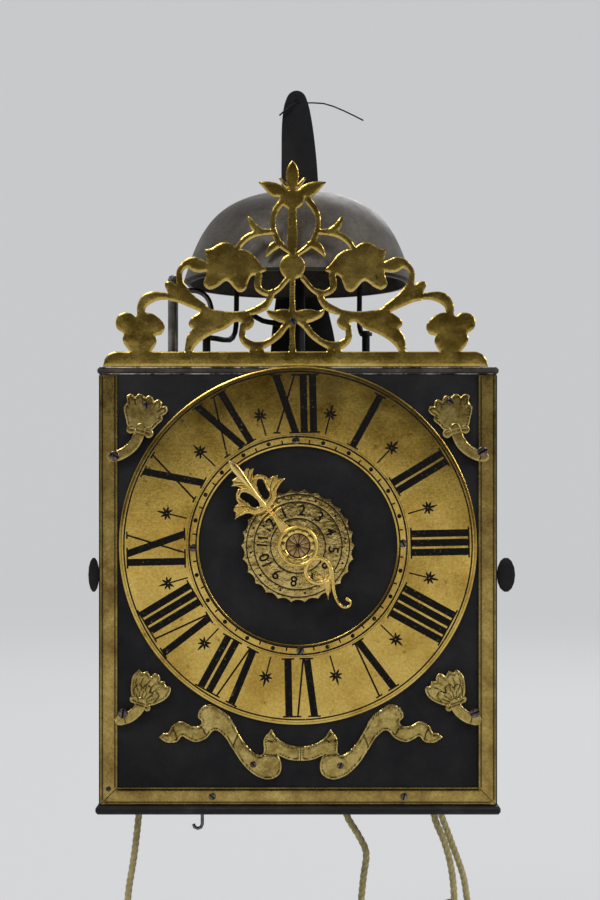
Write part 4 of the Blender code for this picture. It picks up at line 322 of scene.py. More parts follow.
def make_knot(name, at, material):
    """A knot at a rope's end, whose rope passes through its middle."""
    path = even_path(knot_path(at, KNOT_REACH), ROPE_STEP)[:-1]
    rings = tube_rings(path, rope_profile, closed=True)
    return add_object(name, skin(rings, closed=True), material, "cage", 75)


def make_tie(name, around, material):
    """A few turns of thin cord round the hank's waist."""
    low, high = around
    middle = (low + high) / 2
    half = (high - low) / 2 + Vector((TIE_RADIUS, TIE_RADIUS, 0))
    points = []
    steps = 40 * TIE_TURNS
    for i in range(steps + 1):
        angle = FULL_TURN * i / 40
        rise = (i / steps - 0.5) * TIE_TURNS * 2.1 * TIE_RADIUS
        corner = 0.55
        c, s = math.cos(angle), math.sin(angle)
        points.append(Vector((middle.x + half.x * math.copysign(abs(c) ** corner, c),
                              middle.y + half.y * math.copysign(abs(s) ** corner, s),
                              middle.z + rise)))
    return wire(name, even_path(points, TIE_RADIUS), TIE_RADIUS, material, "cage", 8)


def make_free_rope(name, route, nodes, material, tie_material, side=0):
    """A rope's free stretch from the plate down, with its hank if it has one, and the knot at its end."""
    path = even_path(smooth_path(route, 12), ROPE_STEP)
    if side:
        x, y, z = route[-1]
        hank = hank_path((x, y, z - GAP), HANK_LOOPS, side)
        waist_z = hank[2 + HANK_POINTS // 8].z
        near = [p for p in hank if abs(p.z - waist_z) < ROPE_DIAMETER]
        radius = ROPE_DIAMETER / 2
        low = Vector((min(p.x for p in near) - radius, min(p.y for p in near) - radius, waist_z))
        high = Vector((max(p.x for p in near) + radius, max(p.y for p in near) + radius, waist_z))
        make_tie(f"{name}_tie", (low, high), tie_material)
        path = even_path([*path, *hank], ROPE_STEP)
    make_knot(f"{name}_end_knot", path[-1], material)
    mesh = rope_mesh(path)
    rope = add_object(name, mesh, material, "cage", 75)
    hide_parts(*nodes)
    print(f"{name}: {path_length(path):.3f} m")
    return rope


def arc_path(x, y, z, radius, start, end, steps=40):
    return [Vector((x + radius * math.cos(start + (end - start) * i / steps), y,
                    z + radius * math.sin(start + (end - start) * i / steps)))
            for i in range(steps + 1)]


# Outlines in the dial's plane
def scaled(shares, size):
    """Percentages as lengths."""
    return [tuple(value * size / 100 for value in point) for point in shares]


def scroll(shares, size, between=8):
    """The outline of a scroll from its middle line and half widths."""
    line, widths = shares
    marked = [(x, z, width) for (x, z), width in zip(line, widths)]
    path = smooth_path(scaled(marked, size), between)
    left = []
    right = []
    for i, here in enumerate(path):
        ahead = path[min(i + 1, len(path) - 1)]
        behind = path[max(i - 1, 0)]
        along = (ahead.xy - behind.xy).normalized()
        side = Vector((-along.y, along.x)) * here.z
        left.append(tuple(here.xy + side))
        right.append(tuple(here.xy - side))
    return left + round_tip(path[-1], path[-2]) + right[::-1] + round_tip(path[0], path[1])


def round_tip(end, before, steps=5):
    """A round end for a scroll, from its left side to its right."""
    along = (end.xy - before.xy).normalized()
    side = Vector((-along.y, along.x))
    tip = []
    for i in range(1, steps):
        angle = math.pi * i / steps
        tip.append(tuple(end.xy + end.z * (side * math.cos(angle) + along * math.sin(angle))))
    return tip


def mirrored(points):
    return [(-x, z) for x, z in reversed(points)]


def shifted(points, x, z):
    return [(px + x, pz + z) for px, pz in points]


def turned(points, angle):
    """Points turned clockwise as seen from the front."""
    c, s = math.cos(angle), math.sin(angle)
    return [(x * c + z * s, z * c - x * s) for x, z in points]


def circle(radius, sides, x=0.0, z=0.0):
    return [(x + radius * math.cos(FULL_TURN * i / sides), z + radius * math.sin(FULL_TURN * i / sides))
            for i in range(sides)]


def soften(outline, step=0.0007, corner=70):
    """A smooth closed outline through the points, sharp where it turns by more than the corner."""
    points = [Vector(p) for p in outline]
    count = len(points)
    arriving = []
    leaving = []
    for i, here in enumerate(points):
        into = here - points[i - 1]
        out = points[(i + 1) % count] - here
        if into.angle(out, 0) > math.radians(corner):
            arriving.append(into)
            leaving.append(out)
        else:
            along = (into.normalized() + out.normalized()).normalized()
            arriving.append(along * into.length)
            leaving.append(along * out.length)
    path = []
    for i, start in enumerate(points):
        end = points[(i + 1) % count]
        steps = max(1, round((end - start).length / step))
        for k in range(steps):
            t = k / steps
            path.append(tuple(start * (2 * t ** 3 - 3 * t ** 2 + 1) + end * (3 * t ** 2 - 2 * t ** 3)
                              + leaving[i] * (t ** 3 - 2 * t ** 2 + t)
                              + arriving[(i + 1) % count] * (t ** 3 - t ** 2)))
    return path


def inside(points, outline):
    """Which of the points lie inside a closed outline."""
    x, z = points[:, 0], points[:, 1]
    found = np.zeros(len(points), bool)
    for (ax, az), (bx, bz) in zip(outline, [*outline[1:], outline[0]]):
        if az != bz:
            found ^= ((az > z) != (bz > z)) & (x < ax + (z - az) * (bx - ax) / (bz - az))
    return found


def in_union(points, outlines, holes):
    found = np.zeros(len(points), bool)
    for outline in outlines:
        found |= inside(points, outline)
    for outline in holes:
        found &= ~inside(points, outline)
    return found


def distance_to(points, starts, ends):
    """Each point's distance to the nearest of many straight stretches."""
    best = np.full(len(points), 1.0)
    for start, end in zip(starts, ends):
        along = end - start
        squared = max(float(along @ along), 1e-16)
        share = np.clip(((points - start) @ along) / squared, 0, 1)
        away = points - start - share[:, None] * along
        best = np.minimum(best, np.hypot(away[:, 0], away[:, 1]))
    return best


def union_mesh(outlines, holes, extra):
    """The outlines joined, less the holes, as points, triangles and rim edges in the plane."""
    loops = [*outlines, *holes]
    coords = []
    edges = []
    for loop in loops:
        first = len(coords)
        coords += [Vector(p) for p in loop]
        edges += [(first + i, first + (i + 1) % len(loop)) for i in range(len(loop))]
    coords += [Vector(p) for p in extra]
    found = delaunay_2d_cdt(coords, edges, [], 0, 1e-7, False)
    points = np.array([tuple(v) for v in found[0]])
    faces = np.array([tuple(f) for f in found[2]])
    middles = points[faces].mean(axis=1)
    faces = faces[in_union(middles, outlines, holes)]
    a, b, c = points[faces[:, 0]], points[faces[:, 1]], points[faces[:, 2]]
    area = (b[:, 0] - a[:, 0]) * (c[:, 1] - a[:, 1]) - (b[:, 1] - a[:, 1]) * (c[:, 0] - a[:, 0])
    faces = faces[np.abs(area) > 1e-12]
    sides = np.concatenate([faces[:, [0, 1]], faces[:, [1, 2]], faces[:, [2, 0]]])
    _, index, counts = np.unique(np.sort(sides, axis=1), axis=0, return_inverse=True,
                                 return_counts=True)
    rim = sides[counts[index.reshape(-1)] == 1]
    return points, faces, rim


def line_points(path, width, step):
    """Points on and beside an engraved line, so that the surface can follow it."""
    line = even_path(path, step)
    points = []
    for i, here in enumerate(line):
        along = (line[min(i + 1, len(line) - 1)] - line[max(i - 1, 0)]).normalized()
        side = Vector((-along.y, along.x))
        points += [tuple(here + side * (width * k)) for k in (-1.6, -0.8, 0, 0.8, 1.6)]
    return points


def relief(name, body, material, outlines, back_y, thickness, rise, round_width, holes=(), lines=(),
           spacing=0.0009, rim_line=None, swell=0.0, swell_width=0.004):
    """A casting in the dial's plane, rounded along its edges and engraved with lines.
    Each line is its path, its half width and its depth, which is negative for a ridge."""
    points, faces, rim = union_mesh(outlines, holes, [])
    starts, ends = points[rim[:, 0]], points[rim[:, 1]]
    low, high = points.min(axis=0), points.max(axis=0)
    across = np.arange(low[0], high[0], spacing)
    up = np.arange(low[1], high[1], spacing * 0.87)
    gx, gz = np.meshgrid(across, up)
    gx[1::2] += spacing / 2
    inner = np.column_stack([gx.ravel(), gz.ravel()])
    extra = [tuple(p) for path, width, depth in lines for p in line_points(path, width, width * 1.6)]
    if extra:
        inner = np.concatenate([inner, np.array(extra)])
    inner = inner[in_union(inner, outlines, holes)]
    inner = inner[distance_to(inner, starts, ends) > spacing * 0.33]
    points, faces, rim = union_mesh(outlines, holes, inner)
    edge = distance_to(points, points[rim[:, 0]], points[rim[:, 1]])
    share = np.clip(edge / round_width, 0, 1)
    height = thickness - rise * (1 - np.sqrt(1 - (1 - share) ** 2))
    height = height + swell * np.clip(edge / swell_width, 0, 1) ** 0.7
    groove = np.zeros(len(points))
    for path, width, depth in lines:
        line = np.array([tuple(p) for p in path])
        away = distance_to(points, line[:-1], line[1:])
        mark = np.exp(-(away / width) ** 2) * np.clip(edge / (width * 2), 0, 1)
        height = height - depth * mark
        groove = np.maximum(groove, mark * (1 if depth > 0 else -0.6))
    if rim_line:
        place, width, depth = rim_line
        mark = np.exp(-((edge - place) / width) ** 2)
        height = height - depth * mark
        groove = np.maximum(groove, mark)
    return shell_of(name, body, material, points, faces, rim, back_y, height, groove, 1 - share)


def shell_of(name, body, material, points, faces, rim, back_y, height, groove, edge):
    """A closed mesh from a flat one: the front raised by the heights, the rim's side and the back."""
    count = len(points)
    front = [(x, back_y - h, z) for (x, z), h in zip(points, height)]
    back = [(x, back_y, z) for x, z in points]
    tris = [tuple(int(i) for i in f) for f in faces]
    tris += [tuple(int(i) + count for i in f[::-1]) for f in faces]
    tris += [(int(a), int(b), int(b) + count, int(a) + count) for a, b in rim]
    mesh = bpy.data.meshes.new(name)
    mesh.from_pydata(front + back, [], tris)
    store(mesh, "groove", np.concatenate([groove, np.zeros(count)]))
    store(mesh, "edge", np.concatenate([edge, np.ones(count)]))
    bm = bmesh.new()
    bm.from_mesh(mesh)
    bmesh.ops.delete(bm, geom=[v for v in bm.verts if not v.link_faces], context="VERTS")
    bmesh.ops.recalc_face_normals(bm, faces=bm.faces)
    bm.to_mesh(mesh)
    bm.free()
    return add_object(name, mesh, material, body, 38)


def lathe(name, profile, axis, steps, material, body, smooth_angle=40):
    """A turned piece. The profile gives a radius and a place along the axis, Y or Z."""
    rings = []
    for radius, along in profile:
        ring = []
        for i in range(steps):
            angle = FULL_TURN * i / steps
            c, s = radius * math.cos(angle), radius * math.sin(angle)
            ring.append(Vector((c, along, s)) if axis == "Y" else Vector((c, s, along)))
        rings.append(ring)
    return add_object(name, skin(rings, capped=False, closed=True), material, body, smooth_angle)


def place_mesh(obj, x, y, z):
    """Moves a new piece's mesh, so that its object stays at the origin."""
    obj.data.transform(Matrix.Translation((x, y, z)))
    return obj


# Materials
def new_material(name):
    material = bpy.data.materials.new(name)
    material.use_nodes = True
    return material, material.node_tree, material.node_tree.nodes["Principled BSDF"]


def coordinates(tree, scale=(1, 1, 1)):
    place = tree.nodes.new("ShaderNodeTexCoord")
    mapping = tree.nodes.new("ShaderNodeMapping")
    mapping.inputs["Scale"].default_value = scale
    tree.links.new(place.outputs["Object"], mapping.inputs["Vector"])
    return mapping.outputs["Vector"]


def noise(tree, scale, detail=4, roughness=0.55, stretch=(1, 1, 1), distortion=0.0):
    texture = tree.nodes.new("ShaderNodeTexNoise")
    texture.inputs["Scale"].default_value = scale
    texture.inputs["Detail"].default_value = detail
    texture.inputs["Roughness"].default_value = roughness
    texture.inputs["Distortion"].default_value = distortion
    tree.links.new(coordinates(tree, stretch), texture.inputs["Vector"])
    return texture.outputs["Fac"]


def ramp(tree, value, stops):
    node = tree.nodes.new("ShaderNodeValToRGB")
    elements = node.color_ramp.elements
    while len(elements) < len(stops):
        elements.new(0.5)
    for element, (place, colour) in zip(elements, stops):
        element.position = place
        element.color = (*colour, 1) if hasattr(colour, "__len__") else (colour, colour, colour, 1)
    tree.links.new(value, node.inputs["Fac"])
    return node.outputs["Color"]


def blend(tree, factor, first, second, how="MIX"):
    node = tree.nodes.new("ShaderNodeMix")
    node.data_type = "RGBA"
    node.blend_type = how
    slots = {"Factor": factor, "A": first, "B": second}
    for socket in node.inputs:
        if socket.name not in slots or (socket.name != "Factor" and socket.type != "RGBA"):
            continue
        if socket.name == "Factor" and socket.type != "VALUE":
            continue
        value = slots[socket.name]
        if isinstance(value, bpy.types.NodeSocket):
            tree.links.new(value, socket)
        elif hasattr(value, "__len__"):
            socket.default_value = (*value, 1)
        else:
            socket.default_value = value
    return next(s for s in node.outputs if s.type == "RGBA")


def maths(tree, how, first, second=0.0, clamp=False):
    node = tree.nodes.new("ShaderNodeMath")
    node.operation = how
    node.use_clamp = clamp
    for socket, value in zip(node.inputs, (first, second)):
        if isinstance(value, bpy.types.NodeSocket):
            tree.links.new(value, socket)
        else:
            socket.default_value = value
    return node.outputs[0]


def attribute(tree, name):
    node = tree.nodes.new("ShaderNodeAttribute")
    node.attribute_name = name
    return node.outputs["Fac"]


def bump(tree, height, strength, distance, under=None):
    node = tree.nodes.new("ShaderNodeBump")
    node.inputs["Strength"].default_value = strength
    node.inputs["Distance"].default_value = distance
    tree.links.new(height, node.inputs["Height"])
    if under is not None:
        tree.links.new(under, node.inputs["Normal"])
    return node.outputs["Normal"]


def metal(name, dark, middle, bright, roughness=(0.28, 0.5), patch=45, grain=900, dent=0.0003,
          scratch=0.5, metallic=1.0, edge_wear_and_highlight=None, groove_colour=None, stains=None, gloss=0.5):
    """An old metal: mottled, finely scratched, dark in its grooves, and lighter on its edges with rubbed wear
    and a painted highlight.
    """
    material, tree, shader = new_material(name)
    mottle = noise(tree, patch, 6, 0.62, distortion=0.4)
    colour = ramp(tree, mottle, [(0.30, dark), (0.50, middle), (0.70, bright)])
    fine = noise(tree, grain, 3, 0.6)
    colour = blend(tree, 0.35, colour, ramp(tree, fine, [(0.35, 0.25), (0.7, 0.8)]), "OVERLAY")
    if stains:
        spots = ramp(tree, noise(tree, patch * 4.5, 5, 0.7), [(0.60, 0.0), (0.70, 1.0)])
        colour = blend(tree, spots, colour, stains)
    if groove_colour:
        colour = blend(tree, maths(tree, "MULTIPLY", attribute(tree, "groove"), 1.15, True), colour,
                       groove_colour)
    # Lighter edges, set by the edge attribute and a noise: rubbed wear and a painted highlight
    if edge_wear_and_highlight:
        worn = maths(tree, "MULTIPLY", attribute(tree, "edge"),
                     ramp(tree, noise(tree, patch * 3, 4), [(0.35, 0.1), (0.6, 0.8)]), True)
        colour = blend(tree, worn, colour, edge_wear_and_highlight)
    tree.links.new(colour, shader.inputs["Base Color"])
    shader.inputs["Metallic"].default_value = metallic
    shader.inputs["Specular IOR Level"].default_value = gloss
    low, high = roughness
    rough = ramp(tree, noise(tree, patch * 2.3, 5, 0.6), [(0.3, low), (0.7, high)])
    tree.links.new(rough, shader.inputs["Roughness"])
    strokes = noise(tree, 60, 4, 0.7, (1, 1, 26), 0.2)
    others = noise(tree, 60, 4, 0.7, (22, 1, 1.4), 0.2)
    normal = bump(tree, maths(tree, "ADD", strokes, others), 0.10 * scratch, 0.0002)
    normal = bump(tree, noise(tree, patch * 1.6, 3, 0.5), 0.35, dent, normal)
    normal = bump(tree, fine, 0.15, 0.00008, normal)
    tree.links.new(normal, shader.inputs["Normal"])
    return material


def fibre(name, dark, bright, scale=2600):
    """Rope yarn: fine strands, painted lighter where they stand up as a painted highlight, with loose colour
    along the rope.
    """
    material, tree, shader = new_material(name)
    hairs = noise(tree, scale, 5, 0.7, (1, 1, 0.35))
    # The hairs' noise gives both colour and bump, so raised hairs carry a painted highlight
    colour = ramp(tree, hairs, [(0.3, dark), (0.68, bright)])
    colour = blend(tree, 0.45, colour, ramp(tree, noise(tree, 160, 4), [(0.35, 0.35), (0.65, 0.75)]),
                   "OVERLAY")
    tree.links.new(colour, shader.inputs["Base Color"])
    shader.inputs["Roughness"].default_value = 0.85
    shader.inputs["Sheen Weight"].default_value = 0.3
    tree.links.new(bump(tree, hairs, 0.6, 0.0002), shader.inputs["Normal"])
    return material


def wax(name):
    """Black wax in engraving, with brass showing through where it has chipped."""
    material, tree, shader = new_material(name)
    chips = noise(tree, 520, 5, 0.72)
    shown = ramp(tree, chips, [(0.60, 0.0), (0.67, 0.75)])
    patches = ramp(tree, noise(tree, 60, 3), [(0.42, 0.25), (0.66, 1.0)])
    shown = blend(tree, 1.0, shown, patches, "MULTIPLY")
    tree.links.new(blend(tree, shown, (0.004, 0.0035, 0.003), (0.30, 0.21, 0.06)),
                   shader.inputs["Base Color"])
    shader.inputs["Roughness"].default_value = 0.55
    shader.inputs["Specular IOR Level"].default_value = 0.12
    tree.links.new(bump(tree, chips, 0.4, 0.0001), shader.inputs["Normal"])
    return material


# Colours of the materials. Their edge colours are rubbed wear and a painted highlight
IRON = metal("worn_iron", (0.005, 0.005, 0.006), (0.010, 0.009, 0.010), (0.026, 0.023, 0.021),
             (0.42, 0.68), 38, 700, 0.0004, 0.6, 0.15, edge_wear_and_highlight=(0.13, 0.115, 0.10), gloss=0.25)
PLATE_IRON = metal("plate_iron", (0.006, 0.006, 0.007), (0.010, 0.010, 0.011), (0.018, 0.017, 0.017),
                   (0.62, 0.85), 30, 800, 0.0003, 0.5, 0.0, gloss=0.16)
STEEL = metal("grey_steel", (0.07, 0.066, 0.062), (0.15, 0.142, 0.135), (0.28, 0.27, 0.255),
              (0.28, 0.50), 60, 900, 0.0002, 0.7)
BRIGHT_STEEL = metal("bright_steel", (0.35, 0.34, 0.32), (0.56, 0.55, 0.52), (0.75, 0.74, 0.70),
                     (0.25, 0.42), 90, 900, 0.0002, 0.6)
BELL_METAL = metal("bell_metal", (0.045, 0.038, 0.032), (0.080, 0.069, 0.057), (0.125, 0.11, 0.092),
                   (0.46, 0.62), 34, 500, 0.0001, 1.2, 0.45, gloss=0.4)
TOP_IRON = metal("worn_plate_iron", (0.016, 0.0145, 0.013), (0.042, 0.037, 0.031),
                 (0.10, 0.088, 0.074), (0.45, 0.65), 70, 700, 0.0006, 0.6, 0.3, gloss=0.35)
SCREW_STEEL = metal("screw_steel", (0.06, 0.046, 0.042), (0.13, 0.105, 0.098), (0.30, 0.26, 0.24),
                    (0.22, 0.40), 300, 900, 0.0002, 0.7)
DIAL_BRASS = metal("dial_brass", (0.42, 0.255, 0.045), (0.64, 0.44, 0.10), (0.76, 0.55, 0.15),
                   (0.15, 0.26), 26, 600, 0.0001, 0.5, groove_colour=(0.03, 0.022, 0.008),
                   stains=(0.34, 0.19, 0.035))
BORDER_BRASS = metal("border_brass", (0.21, 0.13, 0.04), (0.40, 0.28, 0.08), (0.58, 0.43, 0.13),
                     (0.18, 0.34), 55, 700, 0.0002, 0.8, groove_colour=(0.03, 0.02, 0.008))
CAST_BRASS = metal("cast_brass", (0.22, 0.15, 0.04), (0.46, 0.34, 0.10), (0.66, 0.51, 0.19),
                   (0.20, 0.38), 150, 700, 0.0002, 0.5, edge_wear_and_highlight=(0.74, 0.58, 0.24),
                   groove_colour=(0.035, 0.024, 0.008), stains=(0.14, 0.095, 0.02))
CREST_BRASS = metal("crest_brass", (0.34, 0.225, 0.045), (0.56, 0.39, 0.085), (0.74, 0.55, 0.15),
                    (0.18, 0.32), 34, 700, 0.0016, 0.5, edge_wear_and_highlight=(0.66, 0.48, 0.15),
                    groove_colour=(0.05, 0.034, 0.012), stains=(0.24, 0.16, 0.03))
HAND_BRASS = metal("hand_brass", (0.68, 0.44, 0.10), (0.90, 0.62, 0.16), (0.98, 0.74, 0.24),
                   (0.20, 0.34), 80, 700, 0.0001, 0.2, edge_wear_and_highlight=(0.98, 0.80, 0.38),
                   groove_colour=(0.05, 0.035, 0.012))
DISC_BRASS = metal("disc_brass", (0.30, 0.20, 0.06), (0.60, 0.44, 0.14), (0.82, 0.64, 0.26),
                   (0.16, 0.30), 190, 800, 0.0014, 0.7, stains=(0.17, 0.11, 0.03),
                   groove_colour=(0.03, 0.022, 0.008))
WHEEL_BRASS = metal("wheel_brass", (0.30, 0.21, 0.06), (0.52, 0.39, 0.12), (0.68, 0.53, 0.20),
                    (0.25, 0.42), 60, 700, 0.0002, 0.6)
ROSETTE_METAL = metal("rosette_metal", (0.24, 0.14, 0.06), (0.46, 0.29, 0.12), (0.64, 0.43, 0.20),
                      (0.30, 0.48), 120, 900, 0.0002, 0.4, groove_colour=(0.03, 0.018, 0.01))
LEAD = metal("lead", (0.07, 0.07, 0.075), (0.14, 0.14, 0.145), (0.22, 0.22, 0.225), (0.45, 0.65), 60,
             600, 0.0004, 0.6)
WAX = wax("black_wax")
ROPE = fibre("rope_fibre", (0.20, 0.155, 0.050), (0.52, 0.44, 0.20))
CORD = fibre("tie_fibre", (0.30, 0.26, 0.18), (0.62, 0.56, 0.42), 3200)

NODE_LOOKS = {
    PLATE_IRON: ["front_plate"],
    TOP_IRON: ["top_plate"],
    IRON: ["bell_stand", "strike_hammer", "alarm_hammer", "hanging_wire", "bottom_plate",
           "back_plate", "left_door", "right_door", "left_thumb_plate", "right_thumb_plate",
           "strike_front_bar", "going_front_bar", "strike_rear_bar", "going_rear_bar",
           "centre_bar"],
    STEEL: ["post_front_left", "post_front_right", "post_rear_left", "post_rear_right",
            "hammer_stop", "strike_rack", "strike_pull", "fly", "pendulum"],
    WHEEL_BRASS: ["going_great_wheel", "going_pulley", "second_wheel", "contrate_wheel",
                  "crown_wheel", "hour_wheel", "strike_great_wheel", "strike_pulley", "pin_wheel",
                  "alarm_wheel"],
    BRIGHT_STEEL: ["bell_nut"],
    LEAD: ["pendulum_bob"],
}
BEVEL_WIDTH = 0.00035
SMOOTH_ANGLE = math.radians(37)


def dress_node(name, material):
    """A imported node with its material, softened edges and smooth round surfaces."""
    obj = NODES[name]
    mesh = obj.data
    mesh.materials.clear()
    mesh.materials.append(material)
    if "custom_normal" in mesh.attributes:
        mesh.attributes.remove(mesh.attributes["custom_normal"])
    mesh.shade_smooth()
    weld = obj.modifiers.new("weld", "WELD")
    weld.merge_threshold = 0.00001
    bevel = obj.modifiers.new("bevel", "BEVEL")
    bevel.width = BEVEL_WIDTH
    bevel.segments = 2
    bevel.limit_method = "ANGLE"
    bevel.angle_limit = math.radians(42)
    split = obj.modifiers.new("split", "EDGE_SPLIT")
    split.split_angle = SMOOTH_ANGLE
    split.use_edge_sharp = False


def dress_nodes():
    for material, names in NODE_LOOKS.items():
        for name in names:
            dress_node(name, material)


# Ropes
PULLEY_Y = -0.008
PULLEY_RADIUS = 0.0282
STRIKE_PLACE = (-0.0731, 0.072)
GOING_PLACE = (0.0570, 0.100)
ALARM_PLACE = (0.0815, 0.198)
ALARM_Y = 0.030
ALARM_ROPE_RADIUS = 0.010
STRIKE_KNOT_Z = 0.025
ALARM_KNOT_Z = 0.150
HOLE_DEPTH = 0.003


def inner_rope(name, x, y, z, radius, right_z, left_z, nodes):
    """The rope over a pulley inside the cage, from one strand's end to the other's."""
    path = [Vector((x + radius, y, right_z))]
    path += arc_path(x, y, z, radius, 0, math.pi)
    path.append(Vector((x - radius, y, left_z)))
    rope = add_object(name, rope_mesh(even_path(path, ROPE_STEP)), ROPE, "cage", 75)
    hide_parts(*nodes)
    return rope


def make_ropes():
    x, z = STRIKE_PLACE
    inner_rope("strike_rope_inside", x, PULLEY_Y, z, PULLEY_RADIUS, STRIKE_KNOT_Z, HOLE_DEPTH, [])
    make_knot("strike_rope_knot", (x + PULLEY_RADIUS, PULLEY_Y, STRIKE_KNOT_Z), ROPE)
    make_free_rope("strike_rope_free", STRIKE_FREE_ROUTE, ["strike_rope", "strike_rope_hank"],
                   ROPE, CORD, 1)
    x, z = GOING_PLACE
    inner_rope("going_rope_inside", x, PULLEY_Y, z, PULLEY_RADIUS, HOLE_DEPTH, HOLE_DEPTH, [])
    make_free_rope("going_rope_load_free", GOING_FREE_ROUTE,
                   ["going_rope_load_side", "going_rope_hank"], ROPE, CORD, 1)
    make_free_rope("going_rope_slack_free", GOING_SLACK_ROUTE, ["going_rope_slack_side"], ROPE, CORD)
    x, z = ALARM_PLACE
    inner_rope("alarm_rope_inside", x, ALARM_Y, z, ALARM_ROPE_RADIUS, HOLE_DEPTH, ALARM_KNOT_Z, [])
    make_knot("alarm_rope_knot", (x - ALARM_ROPE_RADIUS, ALARM_Y, ALARM_KNOT_Z), ROPE)
    make_free_rope("alarm_rope_free", ALARM_FREE_ROUTE, ["alarm_rope", "alarm_rope_hank"],
                   ROPE, CORD, -1)


# Dial
DIAL_HALF = (DIAL_RADIUS - DIAL_OPENING) / 2
DIAL_MIDDLE = DIAL_OPENING + DIAL_HALF
DIAL_BACK_Y = TRIM_BACK_Y


def dial_face_y(radius):
    share = (radius - DIAL_MIDDLE) / DIAL_HALF
    return DIAL_RIM_Y - DIAL_DOME * (1 - np.minimum(np.abs(share), 1) ** 2)


def make_dial():
    soft = 0.00025
    radii = np.linspace(DIAL_OPENING + soft, DIAL_RADIUS - soft, 26)
    profile = [(DIAL_OPENING, DIAL_BACK_Y), (DIAL_OPENING, DIAL_RIM_Y + soft)]
    profile += [(r, float(dial_face_y(r))) for r in radii]
    profile += [(DIAL_RADIUS, DIAL_RIM_Y + soft), (DIAL_RADIUS, DIAL_BACK_Y)]
    face = lathe("dial_face", profile, "Y", 240, DIAL_BRASS, "cage", 50)
    place_mesh(face, DIAL_X, 0, DIAL_Z)
    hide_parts("dial_ring")


def on_dial(name, outlines, material, rise=INK_RISE, step=0.0012):
    """Flat shapes laid on the dial's curved face, whose outlines are given from its centre."""
    points, faces, rim = union_mesh(outlines, [], [])
    low, high = points.min(axis=0), points.max(axis=0)
    gx, gz = np.meshgrid(np.arange(low[0], high[0], step), np.arange(low[1], high[1], step))
    inner = np.column_stack([gx.ravel(), gz.ravel()])
    inner = inner[in_union(inner, outlines, [])]
    if len(inner):
        inner = inner[distance_to(inner, points[rim[:, 0]], points[rim[:, 1]]) > step * 0.3]
    points, faces, rim = union_mesh(outlines, [], inner)
    height = TRIM_BACK_Y - dial_face_y(np.hypot(points[:, 0], points[:, 1])) + rise
    obj = shell_of(name, "cage", material, points, faces, rim, TRIM_BACK_Y, height,
                   np.zeros(len(points)), np.zeros(len(points)))
    return place_mesh(obj, DIAL_X, 0, DIAL_Z)


def join_pieces(name, pieces):
    """Pieces of one material and body as one."""
    bm = bmesh.new()
    for piece in pieces:
        bm.from_mesh(piece.data)
    mesh = bpy.data.meshes.new(name)
    bm.to_mesh(mesh)
    bm.free()
    material = pieces[0].data.materials[0]
    body = pieces[0]["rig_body"]
    for piece in pieces:
        bpy.data.objects.remove(piece)
    return add_object(name, mesh, material, body, 38)


def band(name, inner, outer, material, rise=INK_RISE, face=dial_face_y, back=TRIM_BACK_Y, body="cage",
         x=DIAL_X, z=DIAL_Z):
    """A thin line right round, on the dial or on another round face."""
    radii = np.linspace(inner, outer, 4)
    profile = [(inner, back)] + [(r, float(face(r)) - rise) for r in radii] + [(outer, back)]
    obj = lathe(name, profile, "Y", 240, material, body, 30)
    return place_mesh(obj, x, 0, z)


def bar(x_low, z_low, x_high, z_high, width, step=0.001):
    """A straight stroke's outline between two points."""
    start, end = Vector((x_low, z_low)), Vector((x_high, z_high))
    along = (end - start).normalized()
    side = Vector((-along.y, along.x)) * (width / 2)
    steps = max(2, int((end - start).length / step))
    left = [tuple(start.lerp(end, i / steps) + side) for i in range(steps + 1)]
    right = [tuple(start.lerp(end, i / steps) - side) for i in range(steps + 1)]
    return left + right[::-1]


NUMERAL_LOW = 0.0678
NUMERAL_HIGH = 0.1024
BAR_WIDTH = 0.0043
THIN_WIDTH = 0.0011
BAR_PITCH = 0.0056
SERIF = 0.0010
SERIF_REACH = 0.0016
V_SPREAD = 0.0100
X_SPREAD = 0.0112
LETTER_WIDTHS = {"I": BAR_PITCH, "V": 0.0150, "X": 0.0160}
V_FOOT = 0.0044


def stroke(x_high, x_low, width):
    """A stroke between the two circles, with a thin serif across each end."""
    low, high = NUMERAL_LOW, NUMERAL_HIGH
    outlines = [bar(x_high, high, x_low, low, width)]
    for x, z in ((x_high, high), (x_low, low)):
        reach = width / 2 + SERIF_REACH
        outlines.append(bar(x - reach, z, x + reach, z, SERIF))
    return outlines


def numeral_letter(letter, x):
    """A letter's strokes round its middle x."""
    if letter == "I":
        return stroke(x, x, BAR_WIDTH)
    if letter == "V":
        return [*stroke(x - V_SPREAD / 2, x - V_FOOT / 2 + THIN_WIDTH, BAR_WIDTH),
                *stroke(x + V_SPREAD / 2, x + V_FOOT / 2 - THIN_WIDTH, THIN_WIDTH)]
    return [*stroke(x - X_SPREAD / 2, x + X_SPREAD / 2, BAR_WIDTH),
            *stroke(x + X_SPREAD / 2, x - X_SPREAD / 2, THIN_WIDTH)]


def numeral(letters, angle):
    """A Roman numeral, its top outward, turned to its hour."""
    x = -sum(LETTER_WIDTHS[c] for c in letters) / 2
    outlines = []
    for c in letters:
        outlines += numeral_letter(c, x + LETTER_WIDTHS[c] / 2)
        x += LETTER_WIDTHS[c]
    return [turned(outline, angle) for outline in outlines]


def petal(length, width, bulge=0.62, steps=10):
    """A teardrop pointing up from its narrow foot."""
    right = []
    for i in range(steps + 1):
        t = i / steps
        right.append((width / 2 * math.sin(math.pi * t ** (1 / (2 * bulge))) ** 0.8, length * t))
    return right + mirrored(right)[1:-1]


STAR_RADIUS = 0.0810
STAR_PETALS = 8
PETAL_GAP = 0.0002
PETAL_LENGTH = 0.0041
POINT_LENGTH = 0.0060
PETAL_WIDTH = 0.0014


